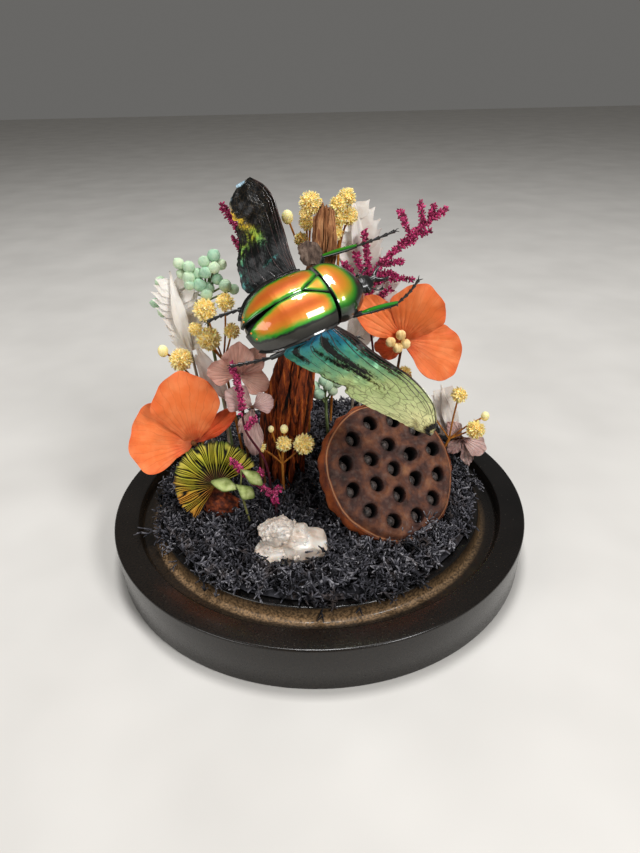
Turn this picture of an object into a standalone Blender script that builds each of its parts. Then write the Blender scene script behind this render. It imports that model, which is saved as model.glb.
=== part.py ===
# Preserved flower beetle with open wings, mounted on driftwood among dried flowers on a round base.
#
# Metres, +Z up. The origin is the centre of the base's underside, +X is to the viewer's right and
# +Y points away from the viewer. The tables hold millimetres, and MM turns them into metres.

import math

import bmesh
import bpy
import numpy as np
from mathutils import Matrix

MM = 0.001
GAP = 0.35                  # clearance between touching neighbours

BASE_RADIUS = 90.0          # upper outer edge
BASE_FOOT_RADIUS = 89.25    # underside
BASE_HEIGHT = 20.0
BASE_EDGE = 1.0             # rounding of the upper edge
GROOVE_OUTER = 79.7
GROOVE_INNER = 70.5
GROOVE_DEPTH = 5.5
BASE_SEGMENTS = 36

MOSS_RADIUS = 68.5
MOSS_DEPTH = 5.5
MOSS_RIM = 1.5              # upright edge of the bed
MOSS_SETTLE = 0.3           # how far the bed lies under the feet of what stands on it
MOSS_RINGS = 6
MOSS_SEGMENTS = 28
MOUND_HEIGHT = 13.0         # the bed swells behind the driftwood
MOUND_CENTRE = (8.0, 45.0)
MOUND_SPREAD = (30.0, 20.0)
POD_DIP = 4.5               # hollow pressed by the seed pod
POD_DIP_CENTRE = (29.0, -25.0)
POD_DIP_SPREAD = 13.0

POD_CENTRE = np.array([29.2, -23.6, 47.6])
POD_FACING = np.array([0.36, -0.65, 0.67])
POD_RADIUS = 29.0
POD_HOLE_RADIUS = 2.9
POD_HOLE_DEPTH = 6.0
POD_SEGMENTS = 24

BEETLE_ORIGIN = (3.7, -23.5, 121.5)     # middle of the joint between wing cases and collar
BEETLE_FORWARD = (0.873, 0.439, 0.212)
BEETLE_LEFT = (-0.485, 0.734, 0.476)

PETAL_THICK = 0.5
STEM_RADIUS = 0.6
STEM_SIDES = 4
FUSED_KEEP = 0.7            # share of the faces that a fused piece keeps
# Fused pieces that keep another share.
SLIVER_KEEP = dict.fromkeys((
    "driftwood", "quartz_cluster", "mauve_floret_lower", "cream_spray_left",
    "cream_spray_far_left", "cream_spray_top", "cream_spray_back"), 1.0)


def unit(vector):
    vector = np.asarray(vector, float)
    return vector / np.linalg.norm(vector)


def clear_scene():
    for item in list(bpy.data.objects):
        bpy.data.objects.remove(item, do_unlink=True)


def make_material(name, colour, roughness, metallic=0.0):
    material = bpy.data.materials.new(name)
    material.use_nodes = True
    shader = material.node_tree.nodes["Principled BSDF"]
    shader.inputs["Base Color"].default_value = (*colour, 1.0)
    shader.inputs["Roughness"].default_value = roughness
    shader.inputs["Metallic"].default_value = metallic
    material.diffuse_color = (*colour, 1.0)
    return material


def mesh_from(name, solid):
    # A solid is an array of points in millimetres and a list of faces.
    points, faces = solid
    mesh = bpy.data.meshes.new(name)
    mesh.from_pydata([tuple(p) for p in np.asarray(points) * MM], [], faces)
    work = bmesh.new()
    work.from_mesh(mesh)
    bmesh.ops.recalc_face_normals(work, faces=work.faces)
    work.to_mesh(mesh)
    work.free()
    return mesh


def add_piece(name, mesh, material, sharp_angle=40.0):
    piece = bpy.data.objects.new(name, mesh)
    bpy.context.collection.objects.link(piece)
    mesh.name = name
    mesh.materials.clear()
    mesh.materials.append(material)
    mesh.shade_smooth()
    mesh.set_sharp_from_angle(angle=math.radians(sharp_angle))
    return piece


def combine(solids, operation="UNION", solver="EXACT", keep=1.0):
    # The first solid united with all the others, or cut by them, as one mesh. A keep under 1
    # collapses the shortest edges, which are the slivers where the solids met.
    items = []
    for k, solid in enumerate(solids):
        item = bpy.data.objects.new(f"solid_{k}", mesh_from(f"solid_{k}", solid))
        bpy.context.collection.objects.link(item)
        items.append(item)
    for item in items[1:]:
        boolean = items[0].modifiers.new("join", "BOOLEAN")
        boolean.operation = operation
        boolean.solver = solver
        boolean.object = item
    if keep < 1:
        items[0].modifiers.new("split", "TRIANGULATE")
        thin = items[0].modifiers.new("thin", "DECIMATE")
        thin.ratio = keep
    graph = bpy.context.evaluated_depsgraph_get()
    mesh = bpy.data.meshes.new_from_object(items[0].evaluated_get(graph))
    for item in items:
        bpy.data.objects.remove(item, do_unlink=True)
    return mesh


def fused(name, solids, material, sharp_angle=40.0, solver="EXACT"):
    keep = SLIVER_KEEP.get(name, FUSED_KEEP)
    return add_piece(name, combine(solids, solver=solver, keep=keep), material, sharp_angle)


def moss_height(x, y):
    # Even bed that rounds off at its edge, a mound at the back, a hollow under the seed pod.
    radius = math.hypot(x, y)
    edge = max(0.0, 1.0 - (radius / MOSS_RADIUS) ** 6)
    dx = (x - MOUND_CENTRE[0]) / MOUND_SPREAD[0]
    dy = (y - MOUND_CENTRE[1]) / MOUND_SPREAD[1]
    mound = MOUND_HEIGHT * math.exp(-0.5 * (dx * dx + dy * dy))
    away = math.hypot(x - POD_DIP_CENTRE[0], y - POD_DIP_CENTRE[1]) / POD_DIP_SPREAD
    dip = POD_DIP * math.exp(-0.5 * away * away)
    return BASE_HEIGHT + GAP + edge * (MOSS_DEPTH + mound - dip)


def on_moss(x, y):
    return (x, y, moss_height(x, y) + GAP)


def grid_solid(front, back):
    # Two matching grids of points, front and back, closed along their rims.
    rows, cols = front.shape[:2]
    count = rows * cols
    index = np.arange(count).reshape(rows, cols)
    faces = []
    for i in range(rows - 1):
        for j in range(cols - 1):
            a, b, c, d = index[i, j], index[i + 1, j], index[i + 1, j + 1], index[i, j + 1]
            faces.append((a, b, c, d))
            faces.append((d + count, c + count, b + count, a + count))
    rim = [*index[0, :-1], *index[:-1, -1], *index[-1, :0:-1], *index[:0:-1, 0]]
    for a, b in zip(rim, rim[1:] + rim[:1]):
        faces.append((a, b, b + count, a + count))
    points = np.vstack([front.reshape(-1, 3), back.reshape(-1, 3)])
    return points, [tuple(int(k) for k in face) for face in faces]


def grid_normals(grid):
    down = np.gradient(grid, axis=0)
    across = np.gradient(grid, axis=1)
    normals = np.cross(down, across)
    return normals / np.linalg.norm(normals, axis=2, keepdims=True)


def sheet(grid, thick):
    offset = grid_normals(grid) * thick / 2
    return grid_solid(grid + offset, grid - offset)


def blade(base, tip, facing, width, cup=0.1, bow=0.08, neck=0.18, full=0.5, lobes=0,
          rows=5, cols=4, thick=PETAL_THICK):
    # Petal or leaf from base to tip. Half width follows a power of a sine along the length,
    # which a small full makes broad. The edges lift by cup, the length arches by bow, and
    # lobes notch the two sides.
    base, tip = np.array(base, float), np.array(tip, float)
    along = tip - base
    length = np.linalg.norm(along)
    side = unit(np.cross(facing, along))
    normal = unit(np.cross(along, side))
    s = np.linspace(0, 1, rows)[:, None]
    t = np.linspace(-1, 1, cols)[None, :]
    outline = neck + (1 - neck) * np.sin(np.pi * s ** 0.9) ** full
    if lobes:
        outline = outline * (0.82 + 0.18 * np.cos(2 * np.pi * lobes * s))
    half = width / 2 * outline
    reach = s * (1 - 0.12 * s * t ** 2)
    lift = cup * half * t ** 2 + bow * length * np.sin(np.pi * s)
    grid = (base + along * reach[..., None] + side * (half * t)[..., None]
            + normal * lift[..., None])
    return sheet(grid, thick)


def tube(points, radii, sides=STEM_SIDES):
    # Round bar through the points, with flat ends.
    points = np.array(points, float)
    radii = np.broadcast_to(np.asarray(radii, float), (len(points),))
    along = np.gradient(points, axis=0)
    normal = np.cross(along[0], (0.31, 0.17, 0.93))
    turn = np.arange(sides) * 2 * np.pi / sides
    rings = []
    for point, radius, direction in zip(points, radii, along):
        direction = unit(direction)
        normal = unit(normal - direction * (normal @ direction))
        across = np.cross(direction, normal)
        rings.append(point + radius * (np.outer(np.cos(turn), normal)
                                       + np.outer(np.sin(turn), across)))
    return ring_solid(rings)


def ring_solid(rings):
    # Closed rings of points joined one to the next, with flat ends.
    rings = [np.asarray(ring, float) for ring in rings]
    sides = len(rings[0])
    faces = [tuple(range(sides))[::-1]]
    for i in range(len(rings) - 1):
        for j in range(sides):
            k = (j + 1) % sides
            faces.append((i * sides + j, i * sides + k, (i + 1) * sides + k, (i + 1) * sides + j))
    faces.append(tuple((len(rings) - 1) * sides + j for j in range(sides)))
    return np.vstack(rings), faces


def ball(centre, radius, segments=5, bands=3, squash=(1, 1, 1)):
    # Rings between two poles.
    turn = np.arange(segments) * 2 * np.pi / segments
    points = [(0, 0, 1)]
    for band in range(1, bands):
        polar = np.pi * band / bands
        for angle in turn + 0.4 * band:
            points.append((math.sin(polar) * math.cos(angle), math.sin(polar) * math.sin(angle),
                           math.cos(polar)))
    points.append((0, 0, -1))
    last = len(points) - 1
    faces = []
    for j in range(segments):
        k = (j + 1) % segments
        faces.append((0, 1 + j, 1 + k))
        for band in range(bands - 2):
            low, high = 1 + band * segments, 1 + (band + 1) * segments
            faces.append((low + j, high + j, high + k, low + k))
        bottom = 1 + (bands - 2) * segments
        faces.append((last, bottom + k, bottom + j))
    return np.array(points) * radius * np.array(squash) + np.array(centre, float), faces


def turned(profile, segments):
    # Profile of radius and height pairs, from the axis at the top to the axis at the bottom.
    points, rings = [], []
    for radius, height in profile:
        if radius == 0:
            rings.append([len(points)])
            points.append((0, 0, height))
            continue
        rings.append(list(range(len(points), len(points) + segments)))
        for k in range(segments):
            angle = 2 * np.pi * k / segments
            points.append((radius * math.cos(angle), radius * math.sin(angle), height))
    faces = []
    for upper, lower in zip(rings, rings[1:]):
        for j in range(segments):
            k = (j + 1) % segments
            if len(upper) == 1:
                faces.append((upper[0], lower[j], lower[k]))
            elif len(lower) == 1:
                faces.append((upper[k], upper[j], lower[0]))
            else:
                faces.append((upper[j], lower[j], lower[k], upper[k]))
    return np.array(points), faces


def stem(top, foot, bend=(0, 0, 0), radius=STEM_RADIUS):
    # Dry stalk from a flower down to the moss, arched by bend at its middle.
    top, foot = np.array(top, float), np.array(on_moss(*foot))
    middle = (top + foot) / 2 + np.array(bend, float)
    s = np.linspace(0, 1, 4)[:, None]
    curve = (1 - s) ** 2 * top + 2 * s * (1 - s) * middle + s ** 2 * foot
    curve[-1] = foot
    return tube(curve, radius)


def make_base():
    # Turned black wood: flat rim, a round-bottomed groove for a cover, a flush middle.
    floor = BASE_HEIGHT - GROOVE_DEPTH
    profile = [
        (0, BASE_HEIGHT), (GROOVE_INNER, BASE_HEIGHT),
        (GROOVE_INNER + 0.4, floor + 1.4), (GROOVE_INNER + 1.8, floor),
        (GROOVE_OUTER - 1.8, floor), (GROOVE_OUTER - 0.4, floor + 1.4),
        (GROOVE_OUTER, BASE_HEIGHT),
        (BASE_RADIUS - BASE_EDGE, BASE_HEIGHT), (BASE_RADIUS, BASE_HEIGHT - BASE_EDGE),
        (BASE_FOOT_RADIUS, 0), (0, 0),
    ]
    material = make_material("black_lacquered_wood", (0.012, 0.011, 0.011), 0.38)
    add_piece("base", mesh_from("base", turned(profile, BASE_SEGMENTS)), material, 25.0)


def make_moss():
    # Cushion of even rings that follow moss_height, with a low upright rim and a flat underside.
    profile = [(0, moss_height(0, 0))]
    for k in range(1, MOSS_RINGS + 1):
        profile.append((MOSS_RADIUS * math.sin(k / MOSS_RINGS * math.pi / 2), 0))
    profile += [(MOSS_RADIUS, BASE_HEIGHT + GAP), (0, BASE_HEIGHT + GAP)]
    points, faces = turned(profile, MOSS_SEGMENTS)
    for point in points[1:1 + MOSS_RINGS * MOSS_SEGMENTS]:
        point[2] = max(BASE_HEIGHT + MOSS_RIM, moss_height(point[0], point[1]) - MOSS_SETTLE)
    material = make_material("dyed_reindeer_moss", (0.05, 0.052, 0.06), 0.95)
    add_piece("moss_bed", mesh_from("moss_bed", (points, faces)), material, 60.0)


def make_driftwood():
    # Weathered column: an uneven star section carried up a leaning axis.
    axis = np.array([
        (-16.5, 3.0, 0.0), (-16.0, 2.5, 31.0), (-14.5, 1.0, 48.0), (-11.5, -1.0, 68.0),
        (-8.5, -3.0, 82.0), (-6.0, -5.0, 94.0), (-2.5, -7.0, 108.0), (0.5, -6.35, 120.0),
        (2.0, -4.6, 131.0), (3.0, -4.0, 141.0), (3.8, -4.0, 147.0),
    ])
    axis[0, 2] = moss_height(-16.5, 3.0) + 1.2
    widths = [9.5, 8.6, 9.0, 9.2, 7.5, 6.4, 5.6, 5.4, 5.2, 5.2, 3.4]
    sides = 12
    turn = np.arange(sides) * 2 * np.pi / sides
    rings = []
    for level, (centre, width) in enumerate(zip(axis, widths)):
        ridge = 1 + 0.15 * np.cos(4 * turn + 0.25 * level) + 0.09 * np.sin(7 * turn - 0.4 * level)
        ring = np.stack([width * ridge * np.cos(turn), 0.72 * width * ridge * np.sin(turn),
                         0 * turn], axis=1)
        if level == len(widths) - 1:
            ring[:, 2] = 2.5 * np.sin(3 * turn) - 0.5 * ring[:, 0]
        rings.append(centre + ring)
    splinter = tube([(-2.0, -9.5, 98.0), (-4.5, -8.0, 84.0), (-8.0, -7.2, 66.0), (-11.5, -5.2, 50.0)],
                    [0.9, 1.5, 1.6, 1.0], 5)
    stub = tube([(4.0, -4.5, 139.0), (6.0, -5.0, 146.0), (7.4, -5.5, 149.5)], [2.6, 1.8, 0.8], 6)
    material = make_material("red_driftwood", (0.20, 0.075, 0.03), 0.8)
    fused("driftwood", [ring_solid(rings), splinter, stub], material, 30.0)


def make_bark_flake():
    flake = blade((-4.7, -10.1, 130.2), (-1.7, -9.2, 139.6), (0.1, -0.9, 0.35), 7.0,
                  cup=-0.12, bow=0.04, neck=0.7, full=0.5, rows=4, cols=3, thick=1.1)
    material = make_material("grey_bark", (0.12, 0.075, 0.05), 0.85)
    add_piece("bark_flake", mesh_from("bark_flake", flake), material)


def pod_frame():
    facing = unit(POD_FACING)
    right = unit(np.cross((0, 0, 1), facing))
    return right, np.cross(facing, right), facing


def pod_hole_places():
    # Rings of seed chambers: places across and up the face, in parts of its radius.
    places = []
    for count, ring, start in ((1, 0.0, 0.0), (6, 0.36, 0.35), (12, 0.72, 0.12)):
        for k in range(count):
            angle = start + 2 * math.pi * k / count
            places.append((ring * math.cos(angle), ring * math.sin(angle)))
    return places


def make_lotus_pod():
    # Shallow cone with a rolled rim, its flat face bored with blind seed chambers.
    right, up, facing = pod_frame()
    profile = [(0, 0.5), (0.82 * POD_RADIUS, 0.2), (0.95 * POD_RADIUS, -0.3), (POD_RADIUS, -2.2),
               (0.985 * POD_RADIUS, -4.6), (0.86 * POD_RADIUS, -9.0), (0.62 * POD_RADIUS, -14.5),
               (0.33 * POD_RADIUS, -19.5), (0.13 * POD_RADIUS, -23.0), (0.11 * POD_RADIUS, -26.5),
               (0, -26.5)]
    points, faces = turned(profile, POD_SEGMENTS)
    wave = 1 + 0.012 * np.sin(3 * np.arctan2(points[:, 1], points[:, 0]) + 0.6)
    points[:, :2] *= wave[:, None]
    turn = np.column_stack([right, up, facing])
    solids = [(points @ turn.T + POD_CENTRE, faces)]
    for across, rise in pod_hole_places():
        bore = turned([(0, 3.0), (POD_HOLE_RADIUS, 3.0), (0.92 * POD_HOLE_RADIUS, -POD_HOLE_DEPTH),
                       (0, -POD_HOLE_DEPTH)], 6)
        shift = POD_CENTRE + POD_RADIUS * (across * right + rise * up)
        solids.append((bore[0] @ turn.T + shift, bore[1]))
    material = make_material("lotus_pod_brown", (0.16, 0.055, 0.025), 0.75)
    add_piece("lotus_pod", combine(solids, "DIFFERENCE"), material)


def crystal_point(foot, direction, radius, length):
    # Six-sided prism that ends in a six-sided point.
    direction = unit(direction)
    side = unit(np.cross(direction, (0.2, 0.9, 0.1)))
    other = np.cross(direction, side)
    foot = np.array(foot, float)
    rings = []
    for reach, size in ((0.0, 0.9), (0.62, 1.0), (1.0, 0.12)):
        turn = np.arange(6) * math.pi / 3
        rings.append(foot + direction * length * reach + radius * size
                     * (np.outer(np.cos(turn), side) + np.outer(np.sin(turn), other)))
    return ring_solid(rings)


def make_quartz():
    # Milky lump with short points standing out of its top and right end.
    floor = moss_height(-11.0, -48.0) + GAP
    lump = [np.array([(-22.0 + dx, -47.5 + dy, 0) for dx, dy in outline]) for outline in (
        [(1, -4), (8, -6.5), (17, -6), (23, -2.5), (22, 4), (14, 7), (5, 6.5), (0, 2)],
        [(-1, -4.5), (8, -7.5), (18, -6.5), (25, -3), (24, 4.5), (14, 8), (4, 7.5), (-1.5, 2)],
        [(2, -3), (8, -5), (14, -4.5), (19, -2.5), (18, 3), (12, 6), (5, 5.5), (1.5, 1.5)])]
    for ring, height in zip(lump, (0.0, 6.5, 15.5)):
        ring[:, 2] = floor + height
    lump[2][:, 2] -= 0.28 * (lump[2][:, 0] + 20)
    centre = np.array([-14.0, -47.0, floor + 6.5])
    solids = [ring_solid(lump)]
    for dx, dy, dz, radius, length in (
            (-6, -2, 5, 2.2, 8.5), (-2, 1, 6, 2.6, 9.5), (3, 0, 4.5, 2.4, 9.0), (-5, 3, 5, 1.8, 8.0),
            (0, -4, 3, 2.2, 8.0), (9, -1, 1, 2.5, 9.0), (11, 2, 0, 2.0, 8.0), (6, 3, 3, 2.0, 8.5),
            (-8, 0, 1, 2.0, 6.5), (5, -5, 0, 2.1, 7.5)):
        lean = (0.10 * dx, 0.14 * dy - 0.1, 1.0 if dz > 2 else 0.45)
        solids.append(crystal_point(centre + (0.7 * dx, 0.7 * dy, 0.6 * dz - 2), lean, radius, length))
    material = make_material("milky_quartz", (0.80, 0.76, 0.70), 0.25)
    fused("quartz_cluster", solids, material, 20.0)


FUNGUS_CENTRE = np.array([-41.0, -23.5, 43.4])
FUNGUS_RADIUS = 17.0
FUNGUS_GILLS = 26


def make_fungus():
    # Fan with raised gills running out to a toothed rim, on a short brown foot.
    first, last = math.radians(22), math.radians(226)
    normal = unit((0.05, -0.95, 0.30))
    right = unit(np.cross((0, 0, 1), normal))
    up = np.cross(normal, right)
    angles = np.linspace(first, last, 2 * FUNGUS_GILLS + 1)
    gill = np.where(np.arange(len(angles)) % 2 == 0, 1.0, 0.0)
    front, back = [], []
    for reach in (0.2, 1.0):
        radius = FUNGUS_RADIUS * reach * (1 + 0.035 * (gill - 0.5) * reach)
        place = (FUNGUS_CENTRE + np.outer(radius * np.cos(angles), right)
                 + np.outer(radius * np.sin(angles), up))
        rise = 1.6 + 1.5 * (1 - reach) + 0.9 * gill * min(1.0, 2 * reach) - 0.8 * reach ** 2
        front.append(place + np.outer(rise, normal))
        back.append(place - (1.2 - 0.5 * reach) * normal)
    fan = grid_solid(np.array(front), np.array(back))
    foot = FUNGUS_CENTRE + (1.0, 0.6, -10.0)
    foot[2] = moss_height(foot[0], foot[1]) + GAP + 5.6
    lump = ball(foot, 6.0, 7, 4, (1.25, 0.62, 1.0))
    neck = ball(foot + (-0.5, 0.2, 7.5), 4.0, 6, 4, (1.0, 0.6, 2.1))
    material = make_material("gilled_bracket", (0.42, 0.36, 0.09), 0.8)
    fused("gilled_fungus", [fan, lump, neck], material, 25.0)


def beetle_pose():
    forward = unit(BEETLE_FORWARD)
    left = np.array(BEETLE_LEFT)
    left = unit(left - forward * (left @ forward))
    up = np.cross(forward, left)
    pose = bpy.data.objects.new("beetle_pose", None)
    turn = Matrix([(forward[k], left[k], up[k]) for k in range(3)]).to_4x4()
    pose.matrix_world = Matrix.Translation([MM * k for k in BEETLE_ORIGIN]) @ turn
    bpy.context.collection.objects.link(pose)
    return pose


def crown_height(x):
    # Ridge line of the wing cases along the body, at its middle.
    return np.interp(x, [-31.5, -29, -25, -19, -12, -5, 0], [-3.2, -0.6, 2.2, 4.7, 5.7, 5.6, 5.0])


def case_half_width(x):
    return np.interp(x, [-31.5, -30, -28, -24, -18, -10, -4, 0],
                     [2.5, 6.0, 9.0, 12.0, 13.5, 13.8, 13.6, 12.4])


SCUTELLUM_HALF = 4.6
SCUTELLUM_LENGTH = 8.6
CASE_SPLIT = 0.075          # how fast the two wing cases part towards their tips
CASE_THICK = 0.9


def make_wing_case(name, hand, pose):
    # Domed shell, cut back beside the scutellum, its margin folded down.
    rows, cols = 9, 5
    grid = np.zeros((rows, cols, 3))
    for i, s in enumerate(np.linspace(0, 1, rows)):
        for j, t in enumerate(np.linspace(0, 1, cols)):
            x = -0.8 - 30.5 * s - 1.6 * t ** 3 * (1 - s) ** 4 + 2.6 * t ** 2 * s ** 8
            seam = max(0.25, SCUTELLUM_HALF * (1 + x / SCUTELLUM_LENGTH) + GAP)
            seam += CASE_SPLIT * max(0.0, -9.0 - x)
            y = seam + (case_half_width(x) - seam) * math.sin(t * math.pi / 2)
            fall = 6.4 * (y / (case_half_width(x) + 0.2)) ** 2.7
            grid[i, j] = (x, hand * y, crown_height(x) - fall)
    inner = grid + grid_normals(grid) * hand * CASE_THICK
    material = make_material(name + "_gold_green", (0.5, 0.2, 0.01), 0.12)
    add_piece(name, mesh_from(name, grid_solid(grid, inner)), material, 50.0).parent = pose


def make_scutellum(pose):
    half, length = SCUTELLUM_HALF - 0.7, SCUTELLUM_LENGTH - 1.0
    top = np.array([(-0.7, -half, 4.75), (-0.7, 0, 5.4), (-0.7, half, 4.75), (-length, 0, 5.7)])
    points = np.vstack([top, top - (0, 0, 1.0)])
    faces = [(0, 1, 3), (1, 2, 3), (4, 7, 5), (5, 7, 6),
             (0, 4, 5, 1), (1, 5, 6, 2), (2, 6, 7, 3), (3, 7, 4, 0)]
    material = make_material("scutellum_green_gold", (0.35, 0.30, 0.02), 0.15)
    name = "beetle_scutellum"
    add_piece(name, mesh_from(name, (points, faces)), material, 20.0).parent = pose


def section(x, half_width, middle, half_height, sides=12, power=0.85):
    turn = np.arange(sides) * 2 * np.pi / sides
    c, s = np.cos(turn), np.sin(turn)
    return np.stack([0 * turn + x, half_width * np.sign(c) * np.abs(c) ** power,
                     middle + half_height * np.sign(s) * np.abs(s) ** power], axis=1)


def make_beetle_body(pose):
    # Abdomen and hind part of the thorax, with the middle and hind legs grown from them.
    rings = [section(*row) for row in (
        (-29.6, 2.6, -6.0, 1.6), (-27.6, 6.0, -5.8, 3.0), (-22.0, 9.0, -5.1, 4.9),
        (-12.0, 10.4, -4.6, 6.0), (-3.0, 10.2, -4.6, 6.1), (-0.3, 8.4, -4.8, 5.2))]
    limbs = [
        ([(-8.0, 4.5, -8.5), (-12.5, 10.0, -12.5), (-19.0, 17.0, -15.5), (-24.0, 20.5, -17.8),
          (-29.5, 22.5, -19.6), (-35.0, 24.0, -21.6)], [1.7, 1.9, 1.0, 0.55, 0.45, 0.4]),
        ([(-8.0, -4.5, -8.5), (-13.0, -6.0, -13.5), (-16.5, -3.2, -19.5), (-21.9, -1.1, -23.0),
          (-29.0, 2.0, -25.0), (-35.5, 4.8, -26.4)], [1.7, 1.9, 1.0, 0.55, 0.45, 0.4]),
        ([(-3.0, 6.0, -8.0), (-2.0, 12.0, -7.6), (-2.6, 15.5, -5.6), (-4.8, 18.2, -5.2)],
         [1.5, 1.4, 0.8, 0.45]),
        ([(-3.0, -6.0, -8.0), (-1.5, -9.5, -11.5), (3.0, -12.0, -13.5), (8.0, -13.0, -15.5)],
         [1.5, 1.4, 0.8, 0.45]),
    ]
    solids = [ring_solid(rings)]
    for points, radii in limbs:
        solids.append(tube(points, radii))
    material = make_material("black_chitin", (0.012, 0.012, 0.01), 0.25)
    fused("beetle_body", solids, material).parent = pose


def make_pronotum(pose):
    # Domed collar over the front of the thorax, with the front legs grown from it.
    rings = []
    for x, half, crown, belly in (
            (0.2, 11.6, 5.4, -8.5), (3.5, 11.7, 5.6, -9.2), (7.5, 10.4, 4.6, -9.4),
            (11.0, 8.0, 2.4, -9.0), (13.4, 5.6, -0.2, -8.2), (14.4, 4.0, -2.2, -7.2)):
        rings.append(pronotum_section(x, half, crown, belly))
    front_left = [(4.5, 7.0, -5.5), (5.5, 12.0, -3.0), (7.8, 14.1, 0.6), (12.8, 11.3, 3.2),
                  (17.7, 8.1, 6.2), (23.0, 5.0, 9.6), (28.6, 2.4, 13.0)]
    front_right = [(4.5, -6.5, -6.0), (6.2, -9.8, -5.2), (8.8, -11.6, -3.9), (14.0, -14.0, -1.6),
                   (19.3, -16.9, 1.1), (23.2, -17.0, 4.4), (26.6, -16.4, 8.0)]
    solids = [ring_solid(rings)]
    for points in (front_left, front_right):
        solids.append(tube(points, [1.5, 1.5, 0.9, 1.3, 1.0, 0.5, 0.4]))
    material = make_material("pronotum_gold_green", (0.45, 0.22, 0.01), 0.15)
    fused("beetle_pronotum", solids, material).parent = pose


def pronotum_section(x, half, crown, belly):
    # Arched above, flatter below, widest a little above the middle.
    turn = np.arange(14) * 2 * np.pi / 14
    middle = belly + 0.45 * (crown - belly)
    rise = np.where(np.sin(turn) > 0, crown - middle, middle - belly)
    return np.stack([0 * turn + x, half * np.sign(np.cos(turn)) * np.abs(np.cos(turn)) ** 0.8,
                     middle + rise * np.sin(turn)], axis=1)


def make_head(pose):
    # Small head with a forked horn.
    rings = [section(*row, 10) for row in (
        (14.8, 3.2, -4.8, 2.2), (17.0, 3.4, -4.9, 2.3), (19.4, 2.4, -4.8, 1.5))]
    solids = [ring_solid(rings), tube([(18.4, 0, -4.6), (21.5, 0, -4.0)], [1.5, 1.2], 6)]
    for hand in (-1, 1):
        prong = [(20.8, 0.2 * hand, -4.2), (23.0, 2.2 * hand, -3.6), (25.0, 3.0 * hand, -2.6)]
        solids.append(tube(prong, [0.9, 0.7, 0.3], 5))
    material = make_material("head_black", (0.012, 0.012, 0.01), 0.3)
    fused("beetle_head", solids, material).parent = pose


def spline(points, count):
    # Catmull-Rom curve through the points, read at even steps of its own parameter.
    points = np.array(points, float)
    points = np.vstack([2 * points[0] - points[1], points, 2 * points[-1] - points[-2]])
    place = np.linspace(0, len(points) - 3 - 1e-6, count)
    k = place.astype(int)
    f = (place - k)[:, None]
    a, b, c, d = points[k], points[k + 1], points[k + 2], points[k + 3]
    bend = (2 * a - 5 * b + 4 * c - d) * f ** 2 + (3 * b - a - 3 * c + d) * f ** 3
    return 0.5 * (2 * b + (c - a) * f + bend)


WING_THICK = 0.4
WING_PLEAT = 0.5
WING_EDGES = {
    "hindwing_right": (
        [(-3.2, -10.9, -3.6), (1.7, -17.8, -5.4), (4.3, -25.5, -6.4), (6.7, -32.1, -8.0),
         (9.5, -38.5, -8.8), (11.9, -44.9, -11.9), (12.9, -50.4, -15.1), (12.6, -54.6, -19.6),
         (11.8, -56.3, -22.4)],
        [(-13.5, -11.4, -6.8), (-18.5, -7.5, -13.0), (-16.8, -10.5, -18.0), (-13.8, -15.3, -18.9),
         (-9.2, -22.3, -19.4), (-6.4, -29.5, -21.0), (-2.3, -37.0, -21.5), (4.6, -47.5, -22.6),
         (11.0, -56.2, -23.6)]),
    "hindwing_left": (
        [(-3.4, 10.9, -3.4), (-2.2, 20.5, 1.6), (-0.9, 26.4, 4.8), (0.7, 33.8, 6.9), (2.3, 40.5, 8.2),
         (2.1, 47.7, 8.6), (-0.3, 54.3, 8.2)],
        [(-14.0, 11.2, -5.6), (-20.2, 20.3, -9.8), (-19.0, 29.0, -6.5), (-14.0, 37.0, -2.6),
         (-12.9, 43.5, -0.4), (-10.7, 50.6, 2.8), (-5.2, 55.5, 5.6)]),
}


def make_hindwing(name, colour, pose):
    # Membrane between its leading and trailing edges, pleated along the folds.
    leading, trailing = WING_EDGES[name]
    rows, cols = 10, 5
    front, rear = spline(leading, rows), spline(trailing, rows)
    t = np.linspace(0, 1, cols)[None, :, None]
    grid = front[:, None] * (1 - t) + rear[:, None] * t
    fade = np.sin(np.linspace(0.05, 0.97, rows) * math.pi)[:, None]
    pleat = WING_PLEAT * np.where(np.arange(cols) % 2 == 0, 1, -1)[None, :] * fade
    grid = grid + grid_normals(grid) * pleat[..., None]
    material = make_material(name + "_membrane", colour, 0.2)
    wing = add_piece(name, mesh_from(name, sheet(grid, WING_THICK)), material)
    wing.parent = pose


def make_beetle():
    pose = beetle_pose()
    make_beetle_body(pose)
    make_pronotum(pose)
    make_head(pose)
    make_scutellum(pose)
    make_wing_case("wing_case_left", 1, pose)
    make_wing_case("wing_case_right", -1, pose)
    make_hindwing("hindwing_right", (0.22, 0.42, 0.18), pose)
    make_hindwing("hindwing_left", (0.03, 0.05, 0.05), pose)


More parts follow.
